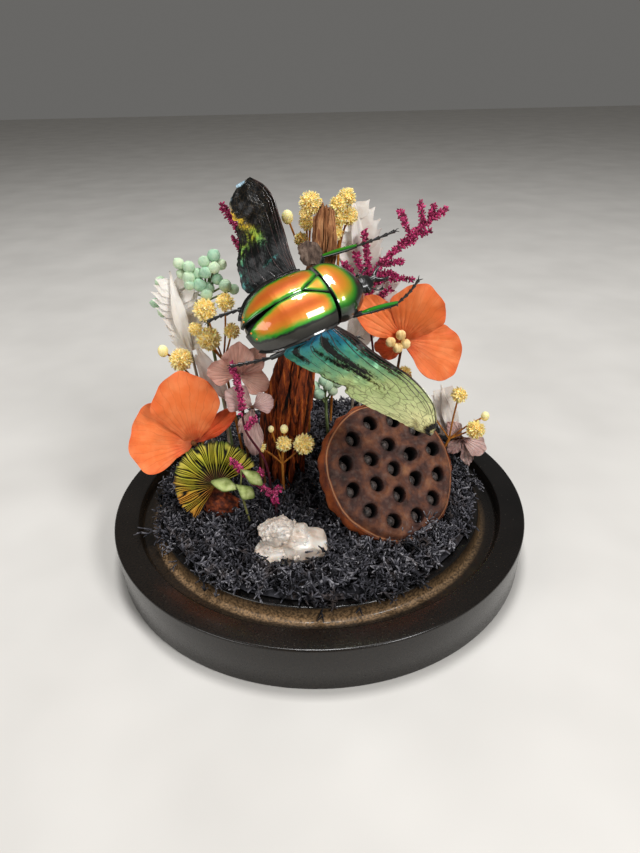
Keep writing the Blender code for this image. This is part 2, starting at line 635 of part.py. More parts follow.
# Each flower: its centre, its petals as tip, facing, width and fullness, its stem's foot and bend.
FLOWERS = {
    "orange_hydrangea_left": {
        "centre": (-50.4, -14.0, 56.6), "colour": (0.78, 0.19, 0.04), "hub": 1.7,
        "petals": [((-54.0, -10.5, 88.0), (0.05, -0.9, 0.3), 30.0, 0.42),
                   ((-76.0, -15.0, 63.0), (0.1, -0.85, 0.5), 30.0, 0.42),
                   ((-33.0, -9.0, 69.0), (-0.45, -0.7, -0.2), 9.0, 0.7)],
        "foot": (-46.0, -6.0), "bend": (2.0, 4.0, 0.0)},
    "orange_hydrangea_right": {
        "centre": (36.2, 8.0, 90.6), "colour": (0.80, 0.17, 0.05), "hub": 1.7,
        "petals": [((46.5, 7.0, 114.0), (-0.05, -0.9, 0.35), 26.0, 0.42),
                   ((17.0, 9.5, 107.5), (0.15, -0.9, 0.3), 16.0, 0.5),
                   ((63.5, 9.0, 78.0), (0.1, -0.85, 0.5), 26.0, 0.42),
                   ((25.5, 11.0, 84.5), (0.5, -0.8, 0.2), 12.0, 0.6)],
        "buds": [(30.6, 3.5, 91.4), (34.0, 3.8, 94.3), (33.0, 2.6, 89.4), (36.6, 3.4, 91.2)],
        "foot": (32.0, 18.0), "bend": (0.0, 6.0, 0.0)},
    "mauve_floret_upper": {
        "grid": {"rows": 5, "cols": 3},
        "centre": (-29.8, -12.0, 85.5), "colour": (0.45, 0.20, 0.18), "hub": 1.1,
        "petals": [((-28.6, -11.0, 99.0), (0.0, -0.85, 0.5), 12.0, 0.55),
                   ((-42.0, -12.5, 88.0), (-0.1, -0.85, 0.5), 10.0, 0.6),
                   ((-18.6, -10.8, 78.8), (0.2, -0.9, 0.3), 10.0, 0.6),
                   ((-19.6, -8.2, 95.0), (0.1, -0.9, 0.3), 8.0, 0.7)],
        "foot": (-30.0, -2.0), "bend": (-1.0, 6.0, 0.0)},
    "mauve_floret_lower": {
        "grid": {"rows": 5, "cols": 3},
        "centre": (-25.0, -16.5, 73.6), "colour": (0.40, 0.22, 0.22), "hub": 1.1,
        "petals": [((-35.2, -16.0, 81.5), (-0.1, -0.85, 0.5), 12.0, 0.6),
                   ((-16.6, -15.6, 77.0), (0.2, -0.9, 0.3), 8.5, 0.6),
                   ((-25.6, -16.6, 51.5), (0.0, -0.95, 0.2), 8.0, 0.6),
                   ((-31.0, -14.6, 61.0), (-0.2, -0.9, 0.2), 5.0, 0.8)],
        "foot": (-23.0, -9.0), "bend": (0.0, 7.0, 0.0)},
    "mauve_floret_right": {
        "grid": {"rows": 5, "cols": 3},
        "centre": (64.5, 8.0, 43.0), "colour": (0.45, 0.24, 0.26), "hub": 1.1,
        "petals": [((58.0, 9.0, 50.5), (0.0, -0.9, 0.4), 8.0, 0.6),
                   ((75.5, 7.0, 36.0), (0.1, -0.85, 0.5), 10.5, 0.55),
                   ((59.0, 7.0, 36.0), (-0.1, -0.9, 0.3), 7.0, 0.6),
                   ((69.5, 9.4, 27.4), (0.1, -0.9, 0.2), 6.5, 0.7)],
        "foot": (50.0, 13.0), "bend": (2.0, 3.0, 4.0)},
}


def make_flower(name, spec):
    centre = np.array(spec["centre"])
    solids = [ball(centre, spec["hub"])]
    for tip, facing, width, full in spec["petals"]:
        start = centre + 0.6 * spec["hub"] * unit(np.array(tip) - centre)
        solids.append(blade(start, tip, facing, width, full=full, **spec.get("grid", {})))
    for bud in spec.get("buds", []):
        solids.append(ball(bud, 2.2))
        solids.append(tube([centre + 0.5 * unit(np.array(bud) - centre), bud], 0.5, 3))
    solids.append(stem(centre + (0, 0.3 * spec["hub"], -0.3 * spec["hub"]), spec["foot"], spec["bend"]))
    fused(name, solids, make_material(name + "_petal", spec["colour"], 0.7), solver="MANIFOLD")


# Each pale leaf: base, tip, width, number of lobes, stem's foot.
LEAF_FACING = (0.0, -0.95, 0.3)
LEAVES = {
    "pale_leaf_left": ((-51.5, 9.0, 86.0), (-56.0, 9.0, 121.0), 15.0, 5, (-46.0, 13.0)),
    "pale_leaf_lower_left": ((-37.0, 0.5, 69.0), (-49.0, 2.0, 92.0), 11.0, 3, (-39.0, 4.0)),
    "pale_leaf_back": ((22.0, 25.0, 104.0), (15.6, 25.0, 145.5), 18.0, 5, (15.0, 26.0)),
    "pale_leaf_centre": ((17.0, 21.0, 84.0), (31.0, 21.0, 116.0), 14.0, 4, (20.0, 20.0)),
    "pale_leaf_right": ((60.5, 13.0, 41.0), (54.5, 13.0, 67.0), 11.0, 3, (42.0, 22.0)),
}


def make_leaf(name, base, tip, width, lobes, foot):
    leaf = blade(base, tip, LEAF_FACING, width, bow=0.05, neck=0.12, full=0.6, lobes=lobes,
                 rows=2 * lobes + 3, cols=3, thick=0.6)
    stalk = stem(np.array(base) + 0.12 * (np.array(tip) - base) + (0, 0.2, 0), foot)
    fused(name, [leaf, stalk], make_material(name + "_felt", (0.72, 0.68, 0.62), 0.9))


# Each spray of cream heads: the heads as centre and radius, where the stalks meet, the foot.
CREAM_SPRAYS = {
    "cream_spray_left": (
        [((-42.3, 0, 107.9), 4.4), ((-34.2, 0, 111.0), 3.6), ((-47.0, 0, 100.3), 2.8),
         ((-42.0, 0, 96.0), 4.7), ((-32.6, 0, 99.1), 3.2)], (-38.0, 5.5, 84.0), (-34.0, 14.0)),
    "cream_spray_far_left": (
        [((-54.2, 0, 87.2), 4.6), ((-60.9, 0, 91.3), 2.2)], (-52.0, 4.5, 78.0), (-50.0, 6.0)),
    "cream_spray_top": (
        [((0.1, 6, 145.3), 4.0), ((-0.8, 6, 138.6), 2.8), ((-9.2, 6, 140.9), 2.8),
         ((-3.6, 6, 132.4), 3.0)], (-2.0, 9.0, 122.0), (-4.0, 24.0)),
    "cream_spray_back": (
        [((10.0, 12, 144.0), 3.2), ((12.6, 13, 147.2), 3.0), ((10.3, 12, 138.8), 3.2),
         ((14.0, 13, 139.5), 3.2), ((8.8, 11, 133.0), 2.8)], (10.0, 15.0, 124.0), (6.0, 30.0)),
    "cream_spray_front": (
        [((-24.0, -14, 53.9), 2.8), ((-13.7, -14, 55.1), 3.2), ((-5.5, -14, 54.8), 4.2),
         ((-18.6, -14, 62.2), 1.3), ((-13.3, -14, 62.1), 1.7)], (-15.0, -11.5, 44.0), (-15.0, -13.0)),
    "cream_spray_right": (
        [((60.5, 4, 66.5), 3.4), ((68.5, 2, 50.5), 4.1), ((72.4, 3, 56.5), 1.9)],
        (58.0, 4.0, 45.0), (50.0, 5.0)),
}


def make_cream_spray(name, heads, fork, foot):
    fork = np.array(fork)
    solids = [stem(fork - (0, 0, 0.5), foot), ball(fork, 1.3)]
    for centre, radius in heads:
        centre = np.array(centre, float)
        start = fork + 0.6 * unit(centre - fork)
        end = centre - 0.7 * radius * unit(centre - fork)
        solids.append(tube([start, end], 0.5, 3))
        solids.append(ball(centre, radius, 6, 4) if radius > 4.3 else ball(centre, radius))
    fused(name, solids, make_material(name + "_bloom", (0.85, 0.62, 0.24), 0.9))


BERRY_RADIUS = 2.6
BERRIES = {
    "green_berries_left": (
        [(-52, 6, 123), (-47, 6, 122), (-42, 7, 125), (-38, 8, 128), (-35, 6, 123), (-43, 5, 119),
         (-48, 5, 117), (-37, 6, 117), (-31, 6, 112), (-41, 8, 113), (-62, 15, 115), (-63, 15, 105)],
        [(-44.0, 14.0, 96.0), (-43.0, 12.0, 112.0)], (-40.0, 22.0)),
    "green_berries_centre": (
        [(-1, 10, 69), (3, 9, 72), (7, 10, 67)], [(4.0, 12.0, 55.0), (4.0, 11.0, 62.0)], (6.0, 12.0)),
}


def make_berries(name, places, trunk, foot):
    low, high = np.array(trunk[0]), np.array(trunk[1])
    solids = [stem(low, foot), tube([low - (0, 0, 1), high], 0.8, 5)]
    for place in places:
        place = np.array(place, float)
        root = low + (high - low) * np.clip((place[2] - low[2] - 6) / (high[2] - low[2]), 0.1, 0.95)
        end = place - 0.6 * BERRY_RADIUS * unit(place - root)
        solids.append(tube([root, end], 0.55, 3))
        solids.append(ball(place, BERRY_RADIUS))
    fused(name, solids, make_material(name + "_bloom", (0.35, 0.48, 0.28), 0.8))


# Each magenta spray: the main stalk from its foot up, then its side twigs as start and tip.
MAGENTA_SPRAYS = {
    "magenta_spray_right": (
        [(27.0, 26.0), (25.0, 15.5, 78.0), (22.5, 15.0, 100.0), (24.5, 17.0, 116.0),
         (34.0, 17.0, 126.0), (43.0, 17.0, 134.0), (52.0, 17.0, 140.5)],
        [((38.5, 17.0, 130.0), (34.0, 17.0, 140.0)), ((43.0, 17.0, 134.0), (42.0, 17.0, 142.5)),
         ((32.0, 17.0, 124.0), (40.0, 17.0, 128.5)), ((27.0, 17.0, 118.0), (36.0, 17.0, 120.5)),
         ((24.0, 17.0, 112.5), (40.0, 15.5, 113.5)), ((23.0, 17.0, 108.0), (20.5, 17.5, 133.0)),
         ((23.0, 17.0, 103.0), (12.0, 17.0, 120.5)), ((22.5, 17.0, 98.0), (28.0, 16.0, 106.0))]),
    "magenta_spray_left": (
        [(-26.0, 24.0), (-25.0, 19.0, 100.0), (-28.0, 18.5, 130.0), (-34.5, 18.0, 143.5)],
        [((-27.0, 18.5, 120.0), (-31.0, 17.5, 131.0))]),
    "magenta_spray_front": (
        [(-17.5, -28.0), (-18.0, -28.0, 38.0), (-26.0, -27.5, 47.0), (-33.6, -27.5, 56.0)],
        [((-18.5, -28.0, 39.0), (-15.5, -29.0, 43.5)), ((-24.0, -27.8, 45.0), (-22.4, -27.0, 51.0))]),
    "magenta_spray_middle": (
        [(-19.0, -19.5), (-21.0, -20.4, 50.0), (-28.0, -20.6, 66.0), (-28.8, -19.8, 80.0),
         (-31.4, -17.0, 92.0)],
        [((-28.0, -20.6, 66.0), (-24.0, -21.2, 71.0))]),
}


def make_magenta_spray(name, main, twigs):
    stalk = [on_moss(*main[0]), *main[1:]]
    path, places = spline(stalk, 8), spline(stalk, 29)
    solids = [tube(path, np.linspace(0.6, 0.9, 8), 5)]
    for start, tip in twigs:
        start = places[np.argmin(np.linalg.norm(places - start, axis=1))]
        tip = np.array(tip, float)
        middle = (start + tip) / 2 + (0, 0, 0.06 * np.linalg.norm(tip - start))
        solids.append(tube([start, middle, tip], [0.6, 0.95, 0.65], 3))
    fused(name, solids, make_material(name + "_bloom", (0.36, 0.02, 0.10), 0.7))


def make_leaf_sprig():
    # Three small leaves lying over the fungus, on one stalk.
    join = (-30.8, -30.6, 45.0)
    solids = [ball(join, 1.0), stem(join, (-27.5, -31.5), radius=0.5)]
    for start, tip, facing, width in (
            (join, (-42.0, -30.0, 48.2), (0.0, -0.8, 0.6), 5.0),
            ((-32.0, -31.4, 47.4), (-25.5, -31.6, 41.4), (0.2, -0.9, 0.4), 5.4),
            ((-29.8, -30.0, 53.6), (-22.0, -30.6, 46.6), (0.4, -0.8, 0.4), 4.6)):
        solids.append(blade(start, tip, facing, width, full=0.7, rows=4, cols=3))
    solids.append(tube([join, (-31.2, -30.8, 49.0), (-29.6, -30.0, 53.2)], 0.45, 4))
    solids.append(tube([join, (-32.0, -31.2, 47.0)], 0.45, 4))
    fused("green_leaf_sprig", solids, make_material("sprig_green", (0.42, 0.45, 0.22), 0.7))


def build():
    clear_scene()
    make_base()
    make_moss()
    make_driftwood()
    make_bark_flake()
    make_lotus_pod()
    make_quartz()
    make_fungus()
    make_beetle()
    for name, spec in FLOWERS.items():
        make_flower(name, spec)
    for name, values in LEAVES.items():
        make_leaf(name, *values)
    for name, values in CREAM_SPRAYS.items():
        make_cream_spray(name, *values)
    for name, values in BERRIES.items():
        make_berries(name, *values)
    for name, values in MAGENTA_SPRAYS.items():
        make_magenta_spray(name, *values)
    make_leaf_sprig()


build()
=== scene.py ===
import math
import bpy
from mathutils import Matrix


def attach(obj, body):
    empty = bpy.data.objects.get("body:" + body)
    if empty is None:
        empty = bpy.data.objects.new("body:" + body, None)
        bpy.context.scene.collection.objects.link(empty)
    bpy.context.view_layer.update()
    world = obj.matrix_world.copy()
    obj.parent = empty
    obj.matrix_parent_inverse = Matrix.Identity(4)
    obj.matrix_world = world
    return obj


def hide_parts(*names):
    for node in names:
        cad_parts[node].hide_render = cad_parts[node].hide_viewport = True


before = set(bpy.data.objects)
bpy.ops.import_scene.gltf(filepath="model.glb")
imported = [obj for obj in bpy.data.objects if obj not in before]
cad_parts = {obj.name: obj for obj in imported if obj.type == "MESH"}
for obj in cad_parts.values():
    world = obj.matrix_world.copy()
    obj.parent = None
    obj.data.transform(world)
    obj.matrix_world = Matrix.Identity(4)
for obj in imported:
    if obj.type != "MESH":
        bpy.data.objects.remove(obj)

from types import SimpleNamespace
import bpy
import numpy as np
from mathutils import Matrix

# Dressed model of a mounted flower beetle on driftwood, among dried flowers on a black base.
# Shapes are worked out in millimetres, +Z up, and go into the meshes in metres.
mm = 0.001
tau = 2 * math.pi
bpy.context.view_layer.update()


def vec(*values):
    return np.array(values, float)


def unit(v):
    return v / np.maximum(np.linalg.norm(v, axis=-1, keepdims=True), 1e-9)


# Smooth noise: the mean of sine waves in random directions, whose wavelengths lie near size.
def lumps(points, size, seed, waves=9):
    rng = np.random.default_rng(seed)
    directions = unit(rng.normal(size=(waves, 3))) * tau / (size * rng.uniform(0.6, 1.6, (waves, 1)))
    return np.sin(points @ directions.T + rng.uniform(0, tau, waves)).mean(-1) * 1.6


# Smooth step of value between low and high.
def ease(value, low, high):
    f = np.clip((value - low) / (high - low), 0, 1)
    return f * f * (3 - 2 * f)


# Smooth bump of height 1 where value is at, and of the given width.
def near(value, at, width):
    return np.exp(-((value - at) / width) ** 2)


# A curve through the given points: Catmull-Rom pieces, read at even steps.
def curve(points, count):
    p = np.asarray(points, float)
    p = np.vstack([2 * p[0] - p[1], p, 2 * p[-1] - p[-2]])
    place = np.linspace(0, len(p) - 3 - 1e-6, count)
    k = place.astype(int)
    f = (place - k)[:, None]
    a, b, c, d = p[k], p[k + 1], p[k + 2], p[k + 3]
    bend = (2 * a - 5 * b + 4 * c - d) * f ** 2 + (3 * b - a - 3 * c + d) * f ** 3
    return 0.5 * (2 * b + (c - a) * f + bend)


# Surfaces: points, face arrays, corner UVs, and one tint per point.
def surface(points, faces, uvs, tint=0.5):
    points = np.asarray(points, float).reshape(-1, 3)
    tint = np.broadcast_to(np.ravel(np.asarray(tint, float)), (len(points),))
    return {"points": points, "faces": faces, "uvs": uvs, "tint": tint}


# Quads over a grid of points. A closed one joins its last column to its first.
def grid(points, closed=False, tint=0.5):
    rows, cols = points.shape[:2]
    index = np.arange(rows * cols).reshape(rows, cols)
    last = cols if closed else cols - 1
    i, j = np.meshgrid(np.arange(rows - 1), np.arange(last), indexing="ij")
    corners = [(i, j), (i + 1, j), (i + 1, j + 1), (i, j + 1)]
    faces = np.stack([index[a, b % cols] for a, b in corners], -1).reshape(-1, 4)
    uvs = np.stack([np.stack([b / last, a / (rows - 1)], -1) for a, b in corners], -2)
    return surface(points, [faces], [uvs.reshape(-1, 4, 2)], tint)


# Rings about the Z axis: radius times (cos, sin) of even turns, at each height.
def roundRings(radius, height, around):
    turn = np.arange(around) * tau / around
    return np.stack(np.broadcast_arrays(radius * np.cos(turn), radius * np.sin(turn), height), -1)


# Rings, one after the other, with both ends closed by a fan to one point.
def closedRings(rings, tint=0.5, first=None, last=None):
    rows, cols = rings.shape[:2]
    body = grid(rings, True, tint)
    first = rings[0].mean(0) if first is None else first
    last = rings[-1].mean(0) if last is None else last
    count = rows * cols
    a = np.arange(cols)
    b = (a + 1) % cols
    low = np.stack([np.full(cols, count), a, b], -1)
    high = np.stack([np.full(cols, count + 1), count - cols + b, count - cols + a], -1)
    fan = np.stack([np.stack([(a + k) / cols, 0 * a], -1) for k in (0.5, 0, 1)], 1)
    fanHigh = np.stack([fan[:, 0], fan[:, 2], fan[:, 1]], 1) + vec(0, 1)
    return {"points": np.vstack([body["points"], first, last]), "faces": [body["faces"][0], low, high],
            "uvs": [body["uvs"][0], fan, fanHigh],
            "tint": np.append(body["tint"], [body["tint"][0], body["tint"][-1]])}


# The same surface seen from its other side: every face's corners in reverse.
def flipped(s):
    return {**s, "faces": [f[:, ::-1] for f in s["faces"]], "uvs": [u[:, ::-1] for u in s["uvs"]]}


# Point numbers once round the rim of a grid.
def rimOf(rows, cols):
    index = np.arange(rows * cols).reshape(rows, cols)
    return np.concatenate([index[0, :-1], index[:-1, -1], index[-1, :0:-1], index[:0:-1, 0]])


# Two matching grids, front and back, joined round their rims: a petal, wing or shell.
def shell(front, back, tint=0.5):
    rows, cols = front.shape[:2]
    face, rear = grid(front, tint=tint), flipped(grid(back))
    count, rim = rows * cols, rimOf(rows, cols)
    ahead = np.roll(rim, -1)
    edge = np.stack([rim, ahead, ahead + count, rim + count], -1)
    where = np.stack([(rim % cols) / (cols - 1), (rim // cols) / (rows - 1)], -1)
    beyond = np.roll(where, -1, 0)
    return {"points": np.vstack([face["points"], rear["points"]]),
            "faces": [face["faces"][0], rear["faces"][0] + count, edge],
            "uvs": [face["uvs"][0], rear["uvs"][0], np.stack([where, beyond, beyond, where], 1)],
            "tint": np.concatenate([face["tint"], face["tint"]])}


# Normals of a grid: the cross product of its steps along rows and along columns.
def gridNormals(points):
    return unit(np.cross(np.gradient(points, axis=0), np.gradient(points, axis=1)))


# A sheet with body: half its thickness to each side along the normals.
def thickSheet(points, thick, tint=0.5):
    lift = gridNormals(points) * np.broadcast_to(thick, points.shape[:2])[..., None] / 2
    return shell(points + lift, points - lift, tint)


# Many round bars at once, as tubes x stations x 3. Each ring is its station plus radius times
# (cos, sin) on two axes square to the path. Flat caps close the ends.
def tubes(paths, radii, sides=6, tint=0.5, flat=1.0):
    paths = np.asarray(paths, float)
    paths = paths[None] if paths.ndim == 2 else paths
    count, stations = paths.shape[:2]
    radii = np.broadcast_to(np.asarray(radii, float), (count, stations))
    along = unit(np.gradient(paths, axis=1))
    aim = unit(paths[:, -1] - paths[:, 0])
    guide = np.where(np.abs(aim[:, 2:]) > 0.75, vec(0.93, 0.31, 0.17), vec(0.11, 0.21, 0.97))
    side = unit(np.cross(along, guide[:, None]))
    up = np.cross(along, side)
    angle = np.arange(sides) * tau / sides
    ring = np.cos(angle)[:, None] * side[:, :, None] + flat * np.sin(angle)[:, None] * up[:, :, None]
    points = paths[:, :, None] + radii[:, :, None, None] * ring
    index = np.arange(count * stations * sides).reshape(count, stations, sides)
    ahead = np.roll(index, -1, 2)
    walls = np.stack([index[:, :-1], ahead[:, :-1], ahead[:, 1:], index[:, 1:]], -1).reshape(-1, 4)
    v = np.arange(stations) / (stations - 1)
    u = np.arange(sides) / sides
    low = np.stack(np.broadcast_arrays(u[None], v[:-1, None]), -1)
    high = np.stack(np.broadcast_arrays(u[None], v[1:, None]), -1)
    step = vec(1 / sides, 0)
    wallUv = np.stack([low, low + step, high + step, high], -2)
    wallUv = np.broadcast_to(wallUv, (count,) + wallUv.shape).reshape(-1, 4, 2)
    caps = np.concatenate([index[:, 0, ::-1], index[:, -1]])
    capUv = np.zeros((len(caps), sides, 2)) + np.repeat([0.0, 1.0], count)[:, None, None] * vec(0, 1)
    tint = np.asarray(tint, float)
    tint = tint.reshape(-1, 1, 1) if tint.ndim < 2 else tint[..., None]
    return surface(points, [walls, caps], [wallUv, capUv],
                   np.broadcast_to(tint, (count, stations, sides)))


# Copies of one small shape: place + turn applied to (size x shape).
def scatter(shape, places, turns, sizes, tint=0.5):
    count, each = len(places), len(shape["points"])
    sizes = np.asarray(sizes, float)
    sizes = np.broadcast_to(sizes[:, None] if sizes.ndim == 1 else sizes, (count, 3))
    local = shape["points"][None] * sizes[:, None]
    points = places[:, None] + np.einsum("nij,nkj->nki", turns, local)
    shift = (np.arange(count) * each)[:, None, None]
    faces = [(f[None] + shift).reshape(-1, f.shape[1]) for f in shape["faces"]]
    uvs = [np.broadcast_to(u, (count,) + u.shape).reshape(-1, *u.shape[1:]) for u in shape["uvs"]]
    tint = np.broadcast_to(np.asarray(tint, float).reshape(-1, 1), (count, each))
    return surface(points, faces, uvs, tint)


# Several surfaces as one, with the point numbers of the later ones shifted.
def joined(parts):
    shifts = np.cumsum([0] + [len(p["points"]) for p in parts[:-1]])
    faces, uvs = {}, {}
    for p, shift in zip(parts, shifts):
        for f, uv in zip(p["faces"], p["uvs"]):
            faces.setdefault(f.shape[1], []).append(f + shift)
            uvs.setdefault(f.shape[1], []).append(uv)
    return {"points": np.vstack([p["points"] for p in parts]),
            "faces": [np.concatenate(f) for f in faces.values()],
            "uvs": [np.concatenate(u) for u in uvs.values()],
            "tint": np.concatenate([p["tint"] for p in parts])}


# Matrices whose third column is the given direction, turned about it by spin.
def turnsTo(directions, spin):
    z = unit(directions)
    guide = np.where(np.abs(z[:, 2:]) > 0.9, vec(1, 0, 0), vec(0, 0, 1))
    x = unit(np.cross(guide, z))
    y = np.cross(z, x)
    c, s = np.cos(spin)[:, None], np.sin(spin)[:, None]
    return np.stack([x * c + y * s, y * c - x * s, z], -1)


# Evenly spread directions on a sphere, by the golden angle.
def sphereSpread(count):
    k = np.arange(count) + 0.5
    z = 1 - 2 * k / count
    turn = k * math.pi * (3 - math.sqrt(5))
    r = np.sqrt(1 - z * z)
    return np.stack([r * np.cos(turn), r * np.sin(turn), z], -1)


# Ball of radius 1 as rings between two poles: sine and cosine of the polar angle.
def ballShape(rings=4, sides=6):
    polar = np.linspace(math.pi, 0, rings + 2)[1:-1, None]
    points = roundRings(np.sin(polar), np.cos(polar), sides)
    return closedRings(points, first=vec(0, 0, -1), last=vec(0, 0, 1))


# The same ball, scaled to its radii and moved to its centre.
def ballAt(centre, radii, rings=24, sides=32, tint=0.5):
    s = ballShape(rings, sides)
    return {**s, "points": s["points"] * radii + centre, "tint": np.full(len(s["points"]), float(tint))}


# A closed surface has a positive volume when its faces look outwards.
def outward(s):
    volume, middle = 0.0, s["points"].mean(0)
    for f in s["faces"]:
        p = s["points"][f] - middle
        for k in range(1, f.shape[1] - 1):
            volume += np.einsum("ij,ij->i", p[:, 0], np.cross(p[:, k], p[:, k + 1])).sum()
    return flipped(s) if volume < 0 else s


# Parts is a list of surface and material. The piece rides on the one body, stands for its nodes and takes its
# finishes from those materials. Slot is not used.
def addPiece(name, parts, slot, *nodes, sharp=50):
    parts = [(outward(s), material) for s, material in parts]
    loops, sizes, uvs, slots, shift, materials = [], [], [], [], 0, []
    for s, material in parts:
        if material not in materials:
            materials.append(material)
        for f, uv in zip(s["faces"], s["uvs"]):
            loops.append((f + shift).ravel())
            sizes.append(np.full(len(f), f.shape[1]))
            uvs.append(uv.reshape(-1, 2))
            slots.append(np.full(len(f), materials.index(material)))
        shift += len(s["points"])
    points = np.concatenate([s["points"] for s, material in parts]) * mm
    loops, sizes = np.concatenate(loops), np.concatenate(sizes)
    mesh = bpy.data.meshes.new(name)
    mesh.vertices.add(len(points))
    mesh.loops.add(len(loops))
    mesh.polygons.add(len(sizes))
    mesh.vertices.foreach_set("co", points.astype(np.float32).ravel())
    mesh.loops.foreach_set("vertex_index", loops.astype(np.int32))
    mesh.polygons.foreach_set("loop_start", (np.cumsum(sizes) - sizes).astype(np.int32))
    mesh.polygons.foreach_set("material_index", np.concatenate(slots).astype(np.int32))
    pattern = mesh.uv_layers.new(name="pattern")
    pattern.data.foreach_set("uv", np.concatenate(uvs).astype(np.float32).ravel())
    tint = mesh.attributes.new("tint", "FLOAT", "POINT")
    tint.data.foreach_set("value", np.concatenate([s["tint"] for s, m in parts]).astype(np.float32))
    for material in materials:
        mesh.materials.append(material)
    mesh.update(calc_edges=True)
    mesh.shade_smooth()
    mesh.set_sharp_from_angle(angle=math.radians(sharp))
    piece = bpy.data.objects.new(name, mesh)
    bpy.context.collection.objects.link(piece)
    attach(piece, "root")
    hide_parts(*nodes)
    return piece


# Display colour in hex to linear light, by the sRGB curve.
def linear(hexColour):
    value = np.array([int(hexColour[k:k + 2], 16) for k in (1, 3, 5)]) / 255
    value = np.where(value <= 0.04045, value / 12.92, ((value + 0.055) / 1.055) ** 2.4)
    return (*[float(c) for c in value], 1.0)


# Texture scale that makes one noise cell this many millimetres long.
def per(size):
    return 1 / (size * mm)


# Adds a node and returns its first output. Plain values fill its inputs in order, and named ones
# with a capital fill the input of that name; an output given as a value is linked. Other names
# are the node's own settings, and stops are a ramp's places and colours.
def add(finish, kind, *inputs, stops=(), **named):
    node = finish.tree.nodes.new("ShaderNode" + kind)
    for key, value in [*enumerate(inputs), *named.items()]:
        if isinstance(key, str) and key[0].islower():
            setattr(node, key, value)
            continue
        socket = node.inputs[key.replace("_", " ") if isinstance(key, str) else key]
        if isinstance(value, bpy.types.NodeSocket):
            finish.tree.links.new(value, socket)
        else:
            socket.default_value = linear(value) if isinstance(value, str) else value
    if stops:
        elements = node.color_ramp.elements
        while len(elements) < len(stops):
            elements.new(0.5)
        for element, (place, colour) in zip(elements, stops):
            element.position = place
            element.color = linear(colour) if isinstance(colour, str) else (colour,) * 3 + (1,)
    return node.outputs[0]


# A material with its shader, and the object coordinates, UV and tint that patterns read.
def newFinish(name, **values):
    material = bpy.data.materials.new(name)
    material.use_nodes = True
    finish = SimpleNamespace(material=material, tree=material.node_tree,
                             shader=material.node_tree.nodes["Principled BSDF"])
    for key, value in values.items():
        finish.shader.inputs[key.replace("_", " ")].default_value = value
    coordinates = add(finish, "TexCoord").node
    finish.place, finish.uv = coordinates.outputs["Object"], coordinates.outputs["UV"]
    finish.tint = add(finish, "Attribute", attribute_name="tint").node.outputs["Fac"]
    return finish


# Links outputs to the shader's inputs.
def feed(finish, **sources):
    for key, source in sources.items():
        finish.tree.links.new(source, finish.shader.inputs[key.replace("_", " ")])
    return finish.material


# A plain natural skin: noise of the given size and detail through a colour ramp, and the same
# noise as relief of the given strength and depth in mm. Stretch below 1 draws it out along Z.
def mottled(name, size, detail, stops, relief=None, stretch=1, rough=0.5, **values):
    f = newFinish(name, **values)
    place = f.place if stretch == 1 else add(f, "Mapping", f.place, Scale=(1, 1, stretch))
    cloud = add(f, "TexNoise", place, Scale=per(size), Detail=detail, Roughness=rough)
    feed(f, Base_Color=add(f, "ValToRGB", cloud, stops=stops))
    if relief:
        feed(f, Normal=add(f, "Bump", Strength=relief[0], Distance=relief[1] * mm, Height=cloud))
    return f.material


base = {"radius": 90.0, "footRadius": 89.25, "height": 20.0, "edge": 1.0, "grooveOuter": 79.7,
        "grooveInner": 70.5, "grooveDepth": 5.5, "segments": 256}


# Rounds each inner corner of a profile: an arc from reach before the corner to reach after it.
def rounded(profile, reach, steps=6):
    p = np.array(profile, float)
    f = np.linspace(0, 1, steps)[:, None]
    out = [p[:1]]
    for a, b, c, r in zip(p, p[1:], p[2:], reach):
        start, end = b + unit(a - b) * r, b + unit(c - b) * r
        out.append((1 - f) ** 2 * start + 2 * f * (1 - f) * b + f ** 2 * end)
    return np.vstack(out + [p[-1:]])


# A profile of radius and height turned round the Z axis, closed on the axis at both ends.
def lathe(profile, segments):
    ends = [vec(0, 0, profile[0, 1]), vec(0, 0, profile[-1, 1])]
    return closedRings(roundRings(profile[:, :1], profile[:, 1:], segments), 0.5, *ends)


